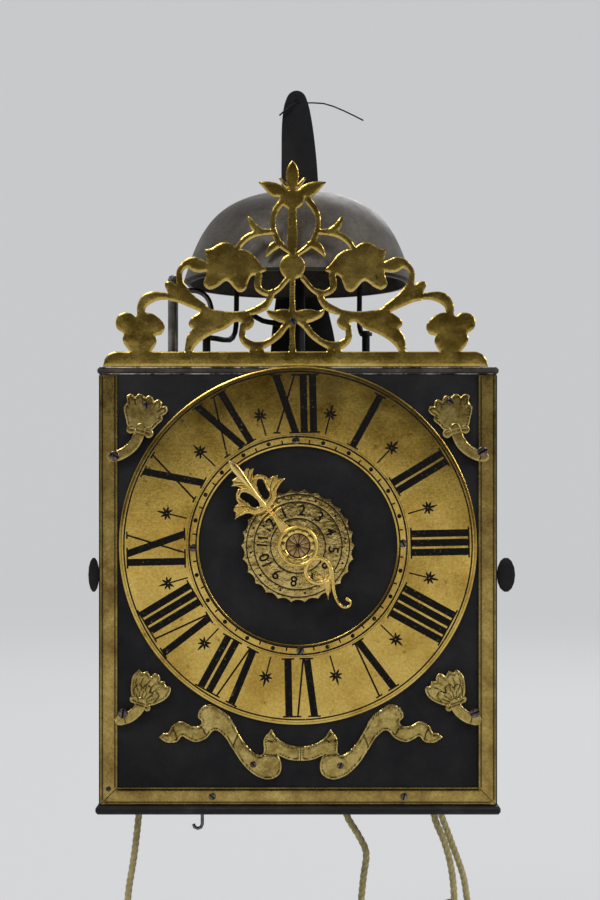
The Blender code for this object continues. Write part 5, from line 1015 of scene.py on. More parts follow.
def half_hour_mark(angle):
    """A stem with a star of petals between two numerals."""
    outlines = [bar(0, 0.0686, 0, STAR_RADIUS - PETAL_GAP, THIN_WIDTH * 0.8)]
    for i in range(STAR_PETALS):
        if i == STAR_PETALS // 2:
            continue
        shape = petal(POINT_LENGTH if i == 0 else PETAL_LENGTH, PETAL_WIDTH)
        shape = [(x, z + PETAL_GAP) for x, z in shape]
        outlines.append(shifted(turned(shape, FULL_TURN * i / STAR_PETALS), 0, STAR_RADIUS))
    return [turned(outline, angle) for outline in outlines]


HOURS = ["XII", "I", "II", "III", "IIII", "V", "VI", "VII", "VIII", "IX", "X", "XI"]
TRACK_DOT_RADIUS = 0.0632
TRACK_DOT = 0.0013
DIAL_RINGS = [("outer_line", 0.1039, 0.1048), ("track_inner_line", 0.0606, 0.0616),
              ("track_outer_line", 0.0648, 0.0658)]
# The dial sits a little anticlockwise in the cage
DIAL_TURN = math.radians(1.2)


def make_dial_marks():
    outlines = []
    for hour, letters in enumerate(HOURS):
        outlines += numeral(letters, FULL_TURN * hour / 12 - DIAL_TURN)
        outlines += half_hour_mark(FULL_TURN * (hour + 0.5) / 12 - DIAL_TURN)
    for quarter in range(24):
        angle = FULL_TURN * quarter / 24 - DIAL_TURN
        if quarter % 6:
            outlines.append(turned(shifted(circle(TRACK_DOT, 14), 0, TRACK_DOT_RADIUS), angle))
        outlines.append(turned(bar(0, 0.0612, 0, 0.0636, THIN_WIDTH * 0.8), angle + FULL_TURN / 48))
    on_dial("dial_numerals", outlines, WAX)
    for name, inner, outer in DIAL_RINGS:
        band(name, inner, outer, WAX)
    fine = []
    for radius in (0.1058, 0.0665):
        fine.append(band(f"fine_line_{len(fine)}", radius, radius + 0.00022, WAX, INK_RISE / 2))
    join_pieces("dial_fine_lines", fine)


# Screw heads
SCREW_RISE = 0.0008
SCREW_SIDES = 28


def slotted_screw(name, x, y, z, radius, angle, material, body="cage", rise=SCREW_RISE,
                  direction=-1):
    """A domed screw head with its slot, facing the dial's way or its opposite."""
    head = bmesh.new()
    rings = [(radius, 0.0), (radius, rise * 0.45), (radius * 0.94, rise * 0.78),
             (radius * 0.75, rise), (radius * 0.35, rise * 1.12)]
    sides = SCREW_SIDES
    loops = []
    for r, up in rings:
        loops.append([head.verts.new((r * math.cos(FULL_TURN * i / sides), direction * up,
                                      r * math.sin(FULL_TURN * i / sides))) for i in range(sides)])
    for low, high in zip(loops, loops[1:]):
        for i in range(sides):
            k = (i + 1) % sides
            head.faces.new((low[i], low[k], high[k], high[i]))
    head.faces.new(loops[-1])
    head.faces.new(loops[0][::-1])
    bmesh.ops.recalc_face_normals(head, faces=head.faces)
    mesh = bpy.data.meshes.new(name)
    head.to_mesh(mesh)
    head.free()
    slot = bmesh.new()
    bmesh.ops.create_cube(slot, size=1)
    bmesh.ops.scale(slot, vec=(radius * 2.2, rise * 1.6, radius * 0.40), verts=slot.verts)
    bmesh.ops.translate(slot, vec=(0, direction * rise * 1.1, 0), verts=slot.verts)
    cutter_mesh = bpy.data.meshes.new("slot")
    slot.to_mesh(cutter_mesh)
    slot.free()
    obj = bpy.data.objects.new(name, mesh)
    cutter = bpy.data.objects.new("slot", cutter_mesh)
    bpy.context.scene.collection.objects.link(obj)
    bpy.context.scene.collection.objects.link(cutter)
    cut = obj.modifiers.new("slot", "BOOLEAN")
    cut.operation = "DIFFERENCE"
    cut.object = cutter
    cut.solver = "EXACT"
    done = bpy.data.meshes.new_from_object(obj.evaluated_get(bpy.context.evaluated_depsgraph_get()))
    bpy.data.objects.remove(obj)
    bpy.data.objects.remove(cutter)
    done.name = name
    done.transform(Matrix.Rotation(angle, 4, "Y"))
    done.transform(Matrix.Translation((x, y, z)))
    return add_object(name, done, material, body, 30)


def slot_dirt(x, y, z, radius, angle, rise=SCREW_RISE):
    """A dark box at the bottom of a screw's slot."""
    half_length, half_width = radius * 0.93, radius * 0.19
    low, high = -rise * 0.2, -rise * 0.75
    corners = [(-half_length, -half_width), (half_length, -half_width), (half_length, half_width),
               (-half_length, half_width)]
    verts = [(a, low, b) for a, b in corners] + [(a, high, b) for a, b in corners]
    faces = [(0, 1, 2, 3), (4, 7, 6, 5), (0, 4, 5, 1), (1, 5, 6, 2), (2, 6, 7, 3), (3, 7, 4, 0)]
    mesh = face_outward(mesh_from(verts, faces))
    mesh.transform(Matrix.Rotation(angle, 4, "Y"))
    mesh.transform(Matrix.Translation((x, y, z)))
    return add_object("slot_fill", mesh, WAX, "cage")


# Outlines as percentages, as the model has them
STRAP_SHARES = [
    (-82, 0), (-85, 37), (-52, 62), (-52, 83), (-48, 94), (-40, 97.2), (-26, 99.3),
    (-4.5, 100), (17, 99.3), (30, 97.2), (40, 94), (57, 84), (66, 74), (85, 50), (118, 37),
    (112, 0),
]
CREST_BASE_SHARES = [
    (-96.4, 0), (-95.5, 3), (-93.5, 5), (-90.5, 6), (0, 6), (2, 6), (2, 0),
]
CREST_FLOWER_SHARES = [
    (-78.8, 5), (-85, 10), (-86.6, 13.9), (-86, 16.2), (-89.2, 18.8), (-90, 22.4),
    (-88.6, 25.7), (-85.6, 27), (-82.4, 26.6), (-80.4, 25), (-79.4, 25.9), (-79.4, 29),
    (-78.4, 32.9), (-75.8, 36.1), (-72.5, 37.4), (-68.6, 37.4), (-63, 36.5), (-63, 33.6),
    (-68.6, 33.2), (-72.5, 31.6), (-74.8, 29.6), (-75.5, 27.2), (-71.9, 26.6), (-68, 24),
    (-65.7, 21.1), (-65.7, 18.5), (-67.3, 16.2), (-70.3, 15.5), (-69.6, 12.6),
    (-70.6, 10), (-75.5, 5),
]
CREST_CALYX_SHARES = [
    (-63.7, 33.3), (-64, 36.8), (-65.4, 41.4), (-64.4, 42.6), (-61.8, 42.3),
    (-59.5, 40.7), (-59.7, 44.6), (-59.5, 47.9), (-57.8, 50.8), (-54.2, 54.1),
    (-50.3, 54.9), (-47, 53.6), (-44, 51.8), (-44, 47.7), (-48.4, 47.2), (-51.6, 47.9),
    (-53.9, 49.4), (-55.6, 48.7), (-56.7, 46.6), (-56.5, 43.3), (-54.2, 39.4),
    (-50.3, 35.1), (-44.6, 30.9), (-46.8, 27), (-52.9, 29.6), (-58.2, 31.9),
]
CREST_LEAF_SHARES = [
    (-45.4, 58.7), (-42.5, 59), (-39.2, 61), (-35.3, 62.3), (-32, 61.3), (-29.4, 59.3),
    (-24.8, 58.3), (-20.9, 55.7), (-17.6, 51.5), (-14.2, 48.1), (-18, 46.5),
    (-22.2, 45), (-23.7, 42), (-25.5, 38.1), (-28.1, 37.4), (-30.7, 39.4),
    (-33.3, 42.3), (-34.6, 43), (-39.2, 40), (-43.1, 38.7), (-45.9, 41),
    (-44.8, 45.9), (-44.4, 51.8),
]
CREST_RUNNER_SHARES = [
    (-45.1, 30.8), (-42.5, 28.9), (-37.3, 28), (-30.7, 27.6), (-24.2, 28.3),
    (-19.3, 29.7), (-17, 28.3), (-22.2, 25.7), (-20.6, 22.4), (-22.9, 18.8),
    (-25.5, 18), (-27.6, 22.1), (-30.1, 22.4), (-34.6, 19.1), (-41.2, 16.5),
    (-45.8, 13.9), (-49, 11.3), (-51.3, 8.3), (-51.8, 5), (-55.6, 5), (-55.2, 10.6),
    (-54.2, 15.2), (-51.6, 18.8), (-53.5, 20.8), (-52.8, 23.4), (-49.7, 26),
    (-47.5, 27.4),
]
CREST_FOOT_SHARES = [(-23.9, 5), (-21.6, 10.6), (-16.7, 10.8), (-14.7, 5)]
CREST_ARM_SHARES = [
    (-14.9, 29.6), (-12.4, 28), (-6.5, 28.8), (-1.3, 28), (0.5, 27.5), (0.5, 24.2),
    (-5.2, 21.8), (-9.8, 23.1), (-13.7, 25.7),
]
CREST_STEM_SHARES = [
    (0.5, 4), (-2, 4), (-2, 22), (-3.2, 24), (-2, 27), (-1.4, 44), (-1.6, 56), (-2.4, 60),
    (-2, 78), (-2, 80), (0.5, 80),
]
CREST_ROSETTE_SHARE = 5.8
CREST_ROSETTE_HEIGHT_SHARE = 50
# Each scroll of the crest: its middle line, then its half widths
CREST_SCROLL_SHARES = [
    ([(-30.2, 57.5), (-26, 63.1), (-21.6, 65.9), (-17.1, 67.2), (-10.6, 67.5)],
     [1.1, 1.4, 1.4, 1.5, 1.2]),
    ([(-15.5, 67), (-20.3, 69.4), (-23.2, 74.4)], [1.2, 1.7, 0.7]),
    ([(-6.2, 83.5), (-10.2, 77.7), (-11.3, 72), (-10.3, 66.3), (-7.5, 61.1), (-1.5, 56.4)],
     [1.5, 1.4, 1.2, 1.3, 1.3, 1.0]),
    ([(-7, 61.4), (-11.2, 60), (-14.4, 55.7)], [1.2, 1.9, 0.6]),
    ([(-3.6, 44.5), (-8.2, 39), (-12.2, 36.8), (-16, 37.2), (-18.9, 40), (-18.4, 45.6)],
     [1.2, 1.1, 1.4, 1.3, 1.5, 1.6]),
    ([(-11.6, 37.5), (-13.3, 33.1), (-16.2, 29.9), (-21, 27.7)], [1.3, 1.5, 1.8, 1.6]),
    ([(-26.3, 20.4), (-26.6, 14.6), (-23.5, 11.2), (-19, 10.2), (-13.7, 12), (-8.5, 15.9),
      (-5.2, 20.1), (-1.6, 23.4)],
     [1.4, 1.5, 1.9, 2.0, 1.5, 1.5, 1.5, 1.6]),
]

SHELL_SHARES = [
    (37.9, -63.5), (33.5, -51), (31.8, -38.7), (35.6, -32.6), (34.4, -25.5), (39.7, -23.2),
    (45, -26.8), (49.4, -23.2), (54.1, -24.6), (57.3, -27.8), (62.2, -25), (66.4, -28.5),
    (67.1, -32.6), (73.1, -29.9), (77, -33.8), (76.6, -37.8), (81.9, -37.5),
    (83.7, -43.1), (79.8, -47.9), (76.6, -49.3), (77.5, -53.7), (71.4, -59.8),
    (63.4, -67),
]
SHELL_STEM_SHARES = ([(52, -64), (48.5, -75), (43.5, -84), (35.3, -91.5), (25, -97), (17, -98.6)],
                     [6.0, 6.3, 6.3, 6.2, 6.2, 5.4])
SHELL_COLLAR_SHARES = ([(39.6, -65.6), (50.3, -66.2), (61.2, -70.4)], [4.4, 3.6, 4.8])
FLOWER_SHARES = [
    (42, 129.5), (40.4, 146.6), (42.8, 155.8), (47.3, 160.4), (49.6, 163.2), (53.8, 158.6),
    (59.3, 161), (63.9, 154.3), (69.4, 158), (74, 154.9), (74.9, 148.5), (80.4, 148.5),
    (81.9, 143), (86.8, 141.5), (87.4, 136.5), (82.3, 128.3), (73.1, 122.7),
    (62, 119.5), (50, 124),
]
FLOWER_STEM_SHARES = ([(52.5, 124), (50, 117), (45, 111), (37.3, 105.9), (27.4, 103)],
                      [6.0, 6.3, 6.4, 6.6, 6.8])
FLOWER_COLLAR_SHARES = ([(42.5, 127), (50.5, 122), (59.5, 116.8)], [3.6, 3.5, 3.6])
RIBBON_SHARES = [
    (-85, 45.9), (-82, 48.4), (-79.5, 48.6), (-77, 52.7), (-71.5, 55.4), (-66, 53),
    (-61.1, 52.7), (-59.3, 55.1), (-61.5, 58.2), (-59.9, 63.1), (-54.4, 65.6),
    (-47.8, 62.2), (-42.2, 57.6), (-37.3, 48.4), (-31.1, 39.8), (-24.4, 35.2),
    (-22.6, 36.1), (-22, 44.7), (-17.7, 50.8), (-14, 45.3), (-6.7, 41.3), (4, 40.2),
    (4, 31.9), (-6.7, 32.5), (-13.4, 35.2), (-11.6, 30), (-12.8, 23.9), (-18.9, 20.8),
    (-26.2, 22.7), (-33.6, 28.8), (-40.9, 39.2), (-45.8, 46.6), (-51.3, 50.2),
    (-56.8, 45.3), (-63, 43.2), (-68.5, 45.3), (-70.9, 46.6), (-74, 43.5), (-80.1, 42.9),
]
# Half of the hour hand's head: across, then along, as percentages of its length
HAND_HEAD_SHARES = [
    (0.8, 100), (1.2, 98.6), (3.4, 94), (3.7, 89), (2.6, 84.5), (4.5, 84.4), (9.1, 85),
    (9.4, 82.2), (13.4, 80.8), (9.8, 78), (6.6, 73), (10.1, 75), (14.6, 72.4),
    (17.1, 68.8), (18.3, 64.4), (22.5, 64.4), (25.9, 62.2), (25.1, 59.6), (29.7, 55.3),
    (23.8, 54.4), (16.6, 51.6), (13, 47.2), (7, 44.6), (2.2, 43.8), (2, 41.4), (9.8, 41),
    (10, 37.4), (1.8, 37), (2.4, 31), (4.2, 21), (4, 15),
]
HAND_HOLE_SHARES = [
    (6.8, 68.5), (9.6, 70.2), (12.6, 68.4), (12.3, 63.8), (10.8, 59.2), (10.3, 54.6),
    (7.4, 51.6), (4.2, 51.4), (2.9, 54), (3.3, 59), (4.6, 64.5),
]
HAND_TAIL_SHARES = ([(11.5, -30), (10.4, -37), (5.7, -43.8), (0.3, -51.6), (-3.7, -61),
                     (-3.6, -68.8), (0.9, -72.4), (5.2, -70.4), (4.4, -66.4)],
                    [1.2, 1.3, 1.7, 1.7, 1.6, 1.5, 1.4, 1.3, 1.9])
HAND_THORN_SHARES = [(4.5, -43), (-2, -40.5), (-6.3, -47.6), (-9.6, -56), (-3.2, -50.5)]


# Borders
BORDER_WIDTH = 0.0102
BORDER_THICKNESS = 0.0010
LINE_FROM_EDGE = 0.0014
LINE_WIDTH = 0.00075


def make_borders():
    for side_name in ("left", "right", "bottom"):
        name = f"border_{side_name}"
        low, high = node_box(name)
        if side_name == "bottom":
            outline = [(low.x, low.z), (low.x + BORDER_WIDTH, high.z), (high.x - BORDER_WIDTH, high.z),
                       (high.x, low.z)]
            paths = [[(low.x + inset, low.z + inset), (high.x - inset, low.z + inset)]
                     for inset in (LINE_FROM_EDGE, BORDER_WIDTH - LINE_FROM_EDGE)]
        else:
            outline = [(low.x, high.z), (low.x, low.z), (high.x, low.z + BORDER_WIDTH),
                       (high.x, high.z)]
            paths = [[(low.x + inset, low.z + inset), (low.x + inset, high.z)]
                     for inset in (LINE_FROM_EDGE, BORDER_WIDTH - LINE_FROM_EDGE)]
            if side_name == "right":
                flip = low.x + high.x
                outline = [(flip - x, z) for x, z in reversed(outline)]
                paths = [[(flip - x, z) for x, z in path] for path in paths]
        lines = [([Vector(p) for p in path], LINE_WIDTH / 2, 0.00018) for path in paths]
        piece = relief(name + "_strip", "cage", BORDER_BRASS, [stepped(outline, 0.002)], high.y,
                       BORDER_THICKNESS, 0.0003, 0.0005, lines=lines, spacing=0.0032)
        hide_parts(name)


def stepped(outline, step):
    """A straight-sided outline with points along its sides."""
    path = []
    for (ax, az), (bx, bz) in zip(outline, [*outline[1:], outline[0]]):
        steps = max(1, round(math.hypot(bx - ax, bz - az) / step))
        path += [(ax + (bx - ax) * i / steps, az + (bz - az) * i / steps) for i in range(steps)]
    return path


# Corner shells and flowers
ORNAMENT_REACH = 0.0500
ORNAMENT_THICKNESS = 0.0022
STEM_THICKNESS = 0.0025
COLLAR_THICKNESS = 0.0030
LAP_BACK_Y = -0.0766
SHELL_ROOT = (51.0, -66.0)
SHELL_CUSPS = [(35.2, -36.5), (37.0, -29.0), (45.0, -30.5), (54.0, -29.5), (62.0, -31.0),
               (69.3, -35.5), (74.0, -41.5), (75.8, -50.2)]
FLOWER_ROOT = (51.0, 121.5)
FLOWER_CUSPS = [(46.5, 152.0), (54.6, 152.5), (63.0, 149.8), (70.5, 146.5), (76.5, 141.5)]
FLOWER_INNER = [(43.5, 132.0), (44.5, 141.5), (50.2, 145.5), (53.8, 140.8), (58.4, 145.0),
                (63.8, 141.0), (64.0, 135.4), (70.3, 136.2), (73.2, 131.0), (68.5, 124.5)]


def at_corner(points, corner_z, side):
    placed = [(-HALF_WIDTH + x, corner_z + z) for x, z in points]
    return placed if side < 0 else mirrored(placed)


def rays(root, ends, start_share=0.12, bow=0.0):
    """Slightly bent lines that spread from a root."""
    paths = []
    for end in ends:
        a, b = Vector(root), Vector(end)
        side = Vector((-(b - a).y, (b - a).x)) * bow
        points = [a.lerp(b, start_share + (1 - start_share) * i / 6)
                  + side * math.sin(math.pi * i / 6) for i in range(7)]
        paths.append([tuple(p) for p in points])
    return paths


def lines_at(paths, corner_z, side, width, depth):
    return [([Vector(p) for p in at_corner(scaled(path, ORNAMENT_REACH), corner_z, side)], width, depth)
            for path in paths]


def ring_band(line, widths, size, shares):
    """Short strokes across a scroll at shares of its length."""
    path = smooth_path(scaled([(x, z, w) for (x, z), w in zip(line, widths)], size), 8)
    strokes = []
    for share in shares:
        i = min(len(path) - 2, max(1, int(share * len(path))))
        along = (path[i + 1].xy - path[i - 1].xy).normalized()
        side = Vector((-along.y, along.x)) * path[i].z * 1.1
        strokes.append([tuple(path[i].xy - side), tuple(path[i].xy + side)])
    return strokes


def make_corner(name, node, corner_z, head, stem, collar, head_lines, side):
    back = node_box(node)[1].y

    def put(points):
        return at_corner(points, corner_z, side)

    pieces = [relief(name + "_head", "cage", CAST_BRASS, [soften(put(scaled(head, ORNAMENT_REACH)))],
                     back, ORNAMENT_THICKNESS, 0.0003, 0.0005, lines=head_lines, spacing=0.0007,
                     rim_line=(0.0013, 0.00024, 0.00022))]
    strokes = [([Vector(p) for p in put(path)], 0.00028, 0.00022)
               for path in ring_band(*stem, ORNAMENT_REACH, (0.06, 0.13, 0.86))]
    pieces.append(relief(name + "_stem", "cage", CAST_BRASS, [put(scroll(stem, ORNAMENT_REACH))],
                         LAP_BACK_Y, STEM_THICKNESS + back - LAP_BACK_Y - 0.0026 + 0.0014, 0.0003,
                         0.0005, lines=strokes, spacing=0.0007))
    knobs = [put(circle(ORNAMENT_REACH * w / 100 * 1.15, 24, *scaled([p], ORNAMENT_REACH)[0]))
             for p, w in zip((collar[0][0], collar[0][-1]), (collar[1][0], collar[1][-1]))]
    groove = [([Vector(p) for p in put(scaled(collar[0], ORNAMENT_REACH))], 0.00035, 0.00025)]
    pieces.append(relief(name + "_collar", "cage", CAST_BRASS,
                         [put(scroll(collar, ORNAMENT_REACH)), *knobs], back, COLLAR_THICKNESS,
                         0.0004, 0.0006, lines=groove, spacing=0.0006))
    whole = join_pieces(name, pieces)
    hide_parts(node)
    return whole


def make_corners():
    for side_name, side in (("left", -1), ("right", 1)):
        cusps = lines_at(rays(SHELL_ROOT, SHELL_CUSPS, 0.86), STANDING_HIGH, side, 0.00026, 0.0001)
        make_corner(f"shell_{side_name}", f"shell_top_{side_name}", STANDING_HIGH, SHELL_SHARES,
                    SHELL_STEM_SHARES, SHELL_COLLAR_SHARES, cusps, side)
        veins = lines_at(rays(FLOWER_ROOT, FLOWER_CUSPS, 0.55, 0.05), STANDING_LOW, side, 0.00030, 0.00028)
        inner = [tuple(p) for p in smooth_path([Vector(p) for p in FLOWER_INNER], 4)]
        inner_line = lines_at([inner], STANDING_LOW, side, 0.00036, 0.00032)
        roots = lines_at(rays(FLOWER_ROOT, [(46, 134), (50.5, 136.5), (55, 136.5), (59.5, 134.5),
                                            (64, 131.5), (67.5, 127.5)], 0.15),
                         STANDING_LOW, side, 0.00026, 0.0002)
        make_corner(f"flower_{side_name}", f"flower_bottom_{side_name}", STANDING_LOW, FLOWER_SHARES,
                    FLOWER_STEM_SHARES, FLOWER_COLLAR_SHARES, veins + inner_line + roots, side)


# Ribbons
RIBBON_SPAN = 0.1000
RIBBON_THICKNESS = 0.0014
RIBBON_JOINT_X = 0.0016
RIBBON_JOINT_GAP = 0.0005
RIBBON_FOLDS = [
    [(-61.0, 53.5), (-58.5, 51.0), (-56.3, 46.8)],
    [(-37.3, 48.4), (-39.5, 43.5), (-40.9, 39.2)],
    [(-24.4, 35.2), (-20.0, 35.5), (-13.4, 35.2)],
    [(-22.0, 44.7), (-17.0, 43.5), (-14.0, 45.3)],
    [(-77.0, 52.7), (-75.0, 48.5), (-74.0, 43.5)],
]


def make_ribbons():
    joint = RIBBON_JOINT_X
    half_gap = RIBBON_JOINT_GAP / 2
    left = [(min(x + joint, joint - half_gap), z) for x, z in scaled(RIBBON_SHARES, RIBBON_SPAN)]
    folds = [[(x + joint, z) for x, z in scaled(fold, RIBBON_SPAN)] for fold in RIBBON_FOLDS]
    for side_name in ("left", "right"):
        outline = left
        paths = folds
        if side_name == "right":
            outline = [(2 * joint - x, z) for x, z in reversed(left)]
            paths = [[(2 * joint - x, z) for x, z in fold] for fold in folds]
        lines = [([Vector(p) for p in path], 0.0004, 0.00035) for path in paths]
        node = f"ribbon_{side_name}"
        piece = relief(node + "_band", "cage", CAST_BRASS, [soften(outline, corner=80)],
                       node_box(node)[1].y, RIBBON_THICKNESS, 0.0003, 0.0004, lines=lines,
                       spacing=0.0008, rim_line=(0.0013, 0.00024, 0.00026))
        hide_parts(node)


# Crest
CREST_SIZE = 0.1200
CREST_THICKNESS = 0.0018
CREST_SIDE_SHIFT = -0.0015
CREST_BASE_Z = 0.2683
CREST_CENTRE_X = -0.0034
CREST_FRONT_Y = -0.0724
BASE_RISE = 1.25
LILY_CUP = [(0, 78.5), (-2.6, 79.2), (-5.4, 81.6), (-6.4, 84.7), (-9.3, 84.9), (-12.5, 87.4),
            (-14.9, 90.1), (-17.0, 92.4), (-14.0, 92.7), (-9.0, 92.2), (-5.4, 90.7), (-2.4, 88.4),
            (0, 88.4)]
LILY_PETAL = [(0, 86.5), (-1.6, 88.2), (-2.6, 91.5), (-3.2, 95.8), (-2.5, 99.6), (-1.0, 102.2),
              (0, 103.2)]
LILY_STAMEN = [(-2.6, 88.5), (-4.6, 90.8), (-6.8, 94.2), (-5.9, 94.9), (-3.6, 92.4), (-2.0, 90.2)]


def make_crest():
    high = node_box("crest")[1]
    middle_x = CREST_SIDE_SHIFT
    shapes = [CREST_FLOWER_SHARES, CREST_CALYX_SHARES, CREST_LEAF_SHARES, CREST_RUNNER_SHARES,
              CREST_FOOT_SHARES, CREST_ARM_SHARES]
    outlines = [soften(scaled(shares, CREST_SIZE), 0.0009) for shares in shapes]
    outlines += [scroll([line, [w * 1.12 for w in widths]], CREST_SIZE, 5)
                 for line, widths in CREST_SCROLL_SHARES]
    base = [(x, z * BASE_RISE) for x, z in CREST_BASE_SHARES]
    outlines.append(stepped(scaled(base, CREST_SIZE), 0.0015))
    outlines = [*outlines, *[mirrored(outline) for outline in outlines]]
    aside = CREST_CENTRE_X - middle_x
    centre = [soften(scaled(shares, CREST_SIZE), 0.0009)
              for shares in (LILY_CUP, LILY_PETAL, LILY_STAMEN, CREST_STEM_SHARES)]
    centre += [mirrored(outline) for outline in centre]
    rosette_z = CREST_ROSETTE_HEIGHT_SHARE * CREST_SIZE / 100
    centre.append(circle(CREST_ROSETTE_SHARE * CREST_SIZE / 100 * 1.1, 40, 0, rosette_z))
    outlines += [shifted(outline, aside, 0) for outline in centre]
    sheet = relief("crest_sheet", "cage", CREST_BRASS, outlines, CREST_FRONT_Y, CREST_THICKNESS,
                   0.0003, 0.0005, spacing=0.0011, swell=0.0002, swell_width=0.006)
    place_mesh(sheet, middle_x, 0, CREST_BASE_Z)
    foot_depth = high.y - CREST_FRONT_Y
    reach = CREST_SIZE * 0.928
    foot = bmesh.new()
    bmesh.ops.create_cube(foot, size=1)
    bmesh.ops.scale(foot, vec=(2 * reach, foot_depth, 0.0016), verts=foot.verts)
    bmesh.ops.translate(foot, vec=(middle_x, CREST_FRONT_Y + foot_depth / 2, CREST_BASE_Z + 0.0008),
                        verts=foot.verts)
    bmesh.ops.bevel(foot, geom=foot.edges, offset=0.0004, segments=2, affect="EDGES")
    mesh = bpy.data.meshes.new("crest_foot")
    foot.to_mesh(mesh)
    foot.free()
    store(mesh, "groove", np.zeros(len(mesh.vertices)))
    store(mesh, "edge", np.zeros(len(mesh.vertices)))
    foot_piece = add_object("crest_foot", mesh, CREST_BRASS, "cage")
    whole = join_pieces("crest_openwork", [sheet, foot_piece])
    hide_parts("crest")


# Hanging strap
STRAP_FOOT_Z = 0.1900
STRAP_TOP_Z = 0.4710
STRAP_HALF_WIDTH = 0.0220
STRAP_TIP_X = -0.0010
STRAP_HOLE_Z = 0.4625
STRAP_HOLE_RADIUS = 0.0021


def make_strap():
    low, high = node_box("hanging_strap")
    height = STRAP_TOP_Z - STRAP_FOOT_Z
    outline = [(STRAP_HALF_WIDTH * x / 100, STRAP_FOOT_Z + height * z / 100) for x, z in STRAP_SHARES]
    hole = circle(STRAP_HOLE_RADIUS, 24, STRAP_TIP_X, STRAP_HOLE_Z)
    strap = relief("hanging_strap_iron", "cage", PLATE_IRON, [soften(outline, 0.0012, 120)], high.y,
                   high.y - low.y, 0.0004, 0.0006, holes=[hole], spacing=0.004)
    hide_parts("hanging_strap")


# Bell
BELL_WALL = 0.0024
BELL_HOLE = 0.0036
BELL_SHARES = [(20, 100), (40, 95), (58, 86), (72, 73), (83, 55), (91, 34), (97, 12), (100, 0)]


def make_bell():
    low, high = BELL_LOW.z, BELL_HIGH.z
    height = high - low
    outer = [(BELL_HOLE / BELL_RADIUS * 100, 101)] + BELL_SHARES
    curve = smooth_path([Vector((r / 100 * BELL_RADIUS, low + min(z, 100) / 100 * height))
                         for r, z in outer], 6)
    inner = []
    for i, here in enumerate(curve):
        ahead = curve[min(i + 1, len(curve) - 1)]
        behind = curve[max(i - 1, 0)]
        along = (ahead - behind).normalized()
        inner.append(here + Vector((along.y, -along.x)) * -BELL_WALL)
    inner = [p if p.x > BELL_HOLE else Vector((BELL_HOLE, p.y)) for p in inner]
    inner[-1] = Vector((BELL_RADIUS - BELL_WALL, low))
    profile = [tuple(p) for p in curve] + [tuple(p) for p in inner[::-1]]
    profile = [(max(r, BELL_HOLE), min(z, high)) for r, z in profile]
    bell = lathe("bell_cup", profile, "Z", 160, BELL_METAL, "cage", 45)
    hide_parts("bell")


# Alarm disc
DISC_SCALLOPS = 26
SCALLOP_DEPTH = 0.0017
DISC_CIRCLES = [0.0308, 0.0263, 0.0164]
DISC_CREASE = 0.0060
DISC_LEAN = 0.038
ALARM_DIGIT_RADIUS = 0.0214
ALARM_DIGIT_SIZE = 0.0088
ALARM_DOT_RADIUS = 0.0286
ALARM_TURN = math.radians(186.7 - 240)


def scalloped_edge():
    """Cusps pointing out, with hollows between them."""
    outline = []
    for i in range(DISC_SCALLOPS):
        for step in range(8):
            share = step / 8
            angle = FULL_TURN * (i + share) / DISC_SCALLOPS
            radius = DISC_RADIUS - SCALLOP_DEPTH * math.sin(math.pi * share) ** 0.8
            outline.append((radius * math.cos(angle), radius * math.sin(angle)))
    return outline


def ring_path(radius, sides=180):
    return [Vector(p) for p in circle(radius, sides)] + [Vector((radius, 0))]


def text_mesh(text, size):
    """A plain digit as a flat mesh in the dial's plane, its middle at the origin."""
    curve = bpy.data.curves.new("digit", "FONT")
    curve.body = text
    curve.size = size
    curve.align_x = "CENTER"
    curve.align_y = "CENTER"
    curve.resolution_u = 4
    curve.offset = size * 0.020
    obj = bpy.data.objects.new("digit", curve)
    bpy.context.scene.collection.objects.link(obj)
    mesh = bpy.data.meshes.new_from_object(obj.evaluated_get(bpy.context.evaluated_depsgraph_get()))
    bpy.data.objects.remove(obj)
    mesh.transform(Matrix.Rotation(math.pi / 2, 4, "X"))
    middle = (Vector([min(v.co[k] for v in mesh.vertices) for k in range(3)])
              + Vector([max(v.co[k] for v in mesh.vertices) for k in range(3)])) / 2
    mesh.transform(Matrix.Translation(-middle))
    return mesh


def bend(obj):
    """The disc's upper part leans back a little, past a crease across it."""
    for vertex in obj.data.vertices:
        above = 0.22 * vertex.co.x + 0.976 * vertex.co.z - DISC_CREASE
        vertex.co.y += DISC_LEAN * max(0, above)
    return obj


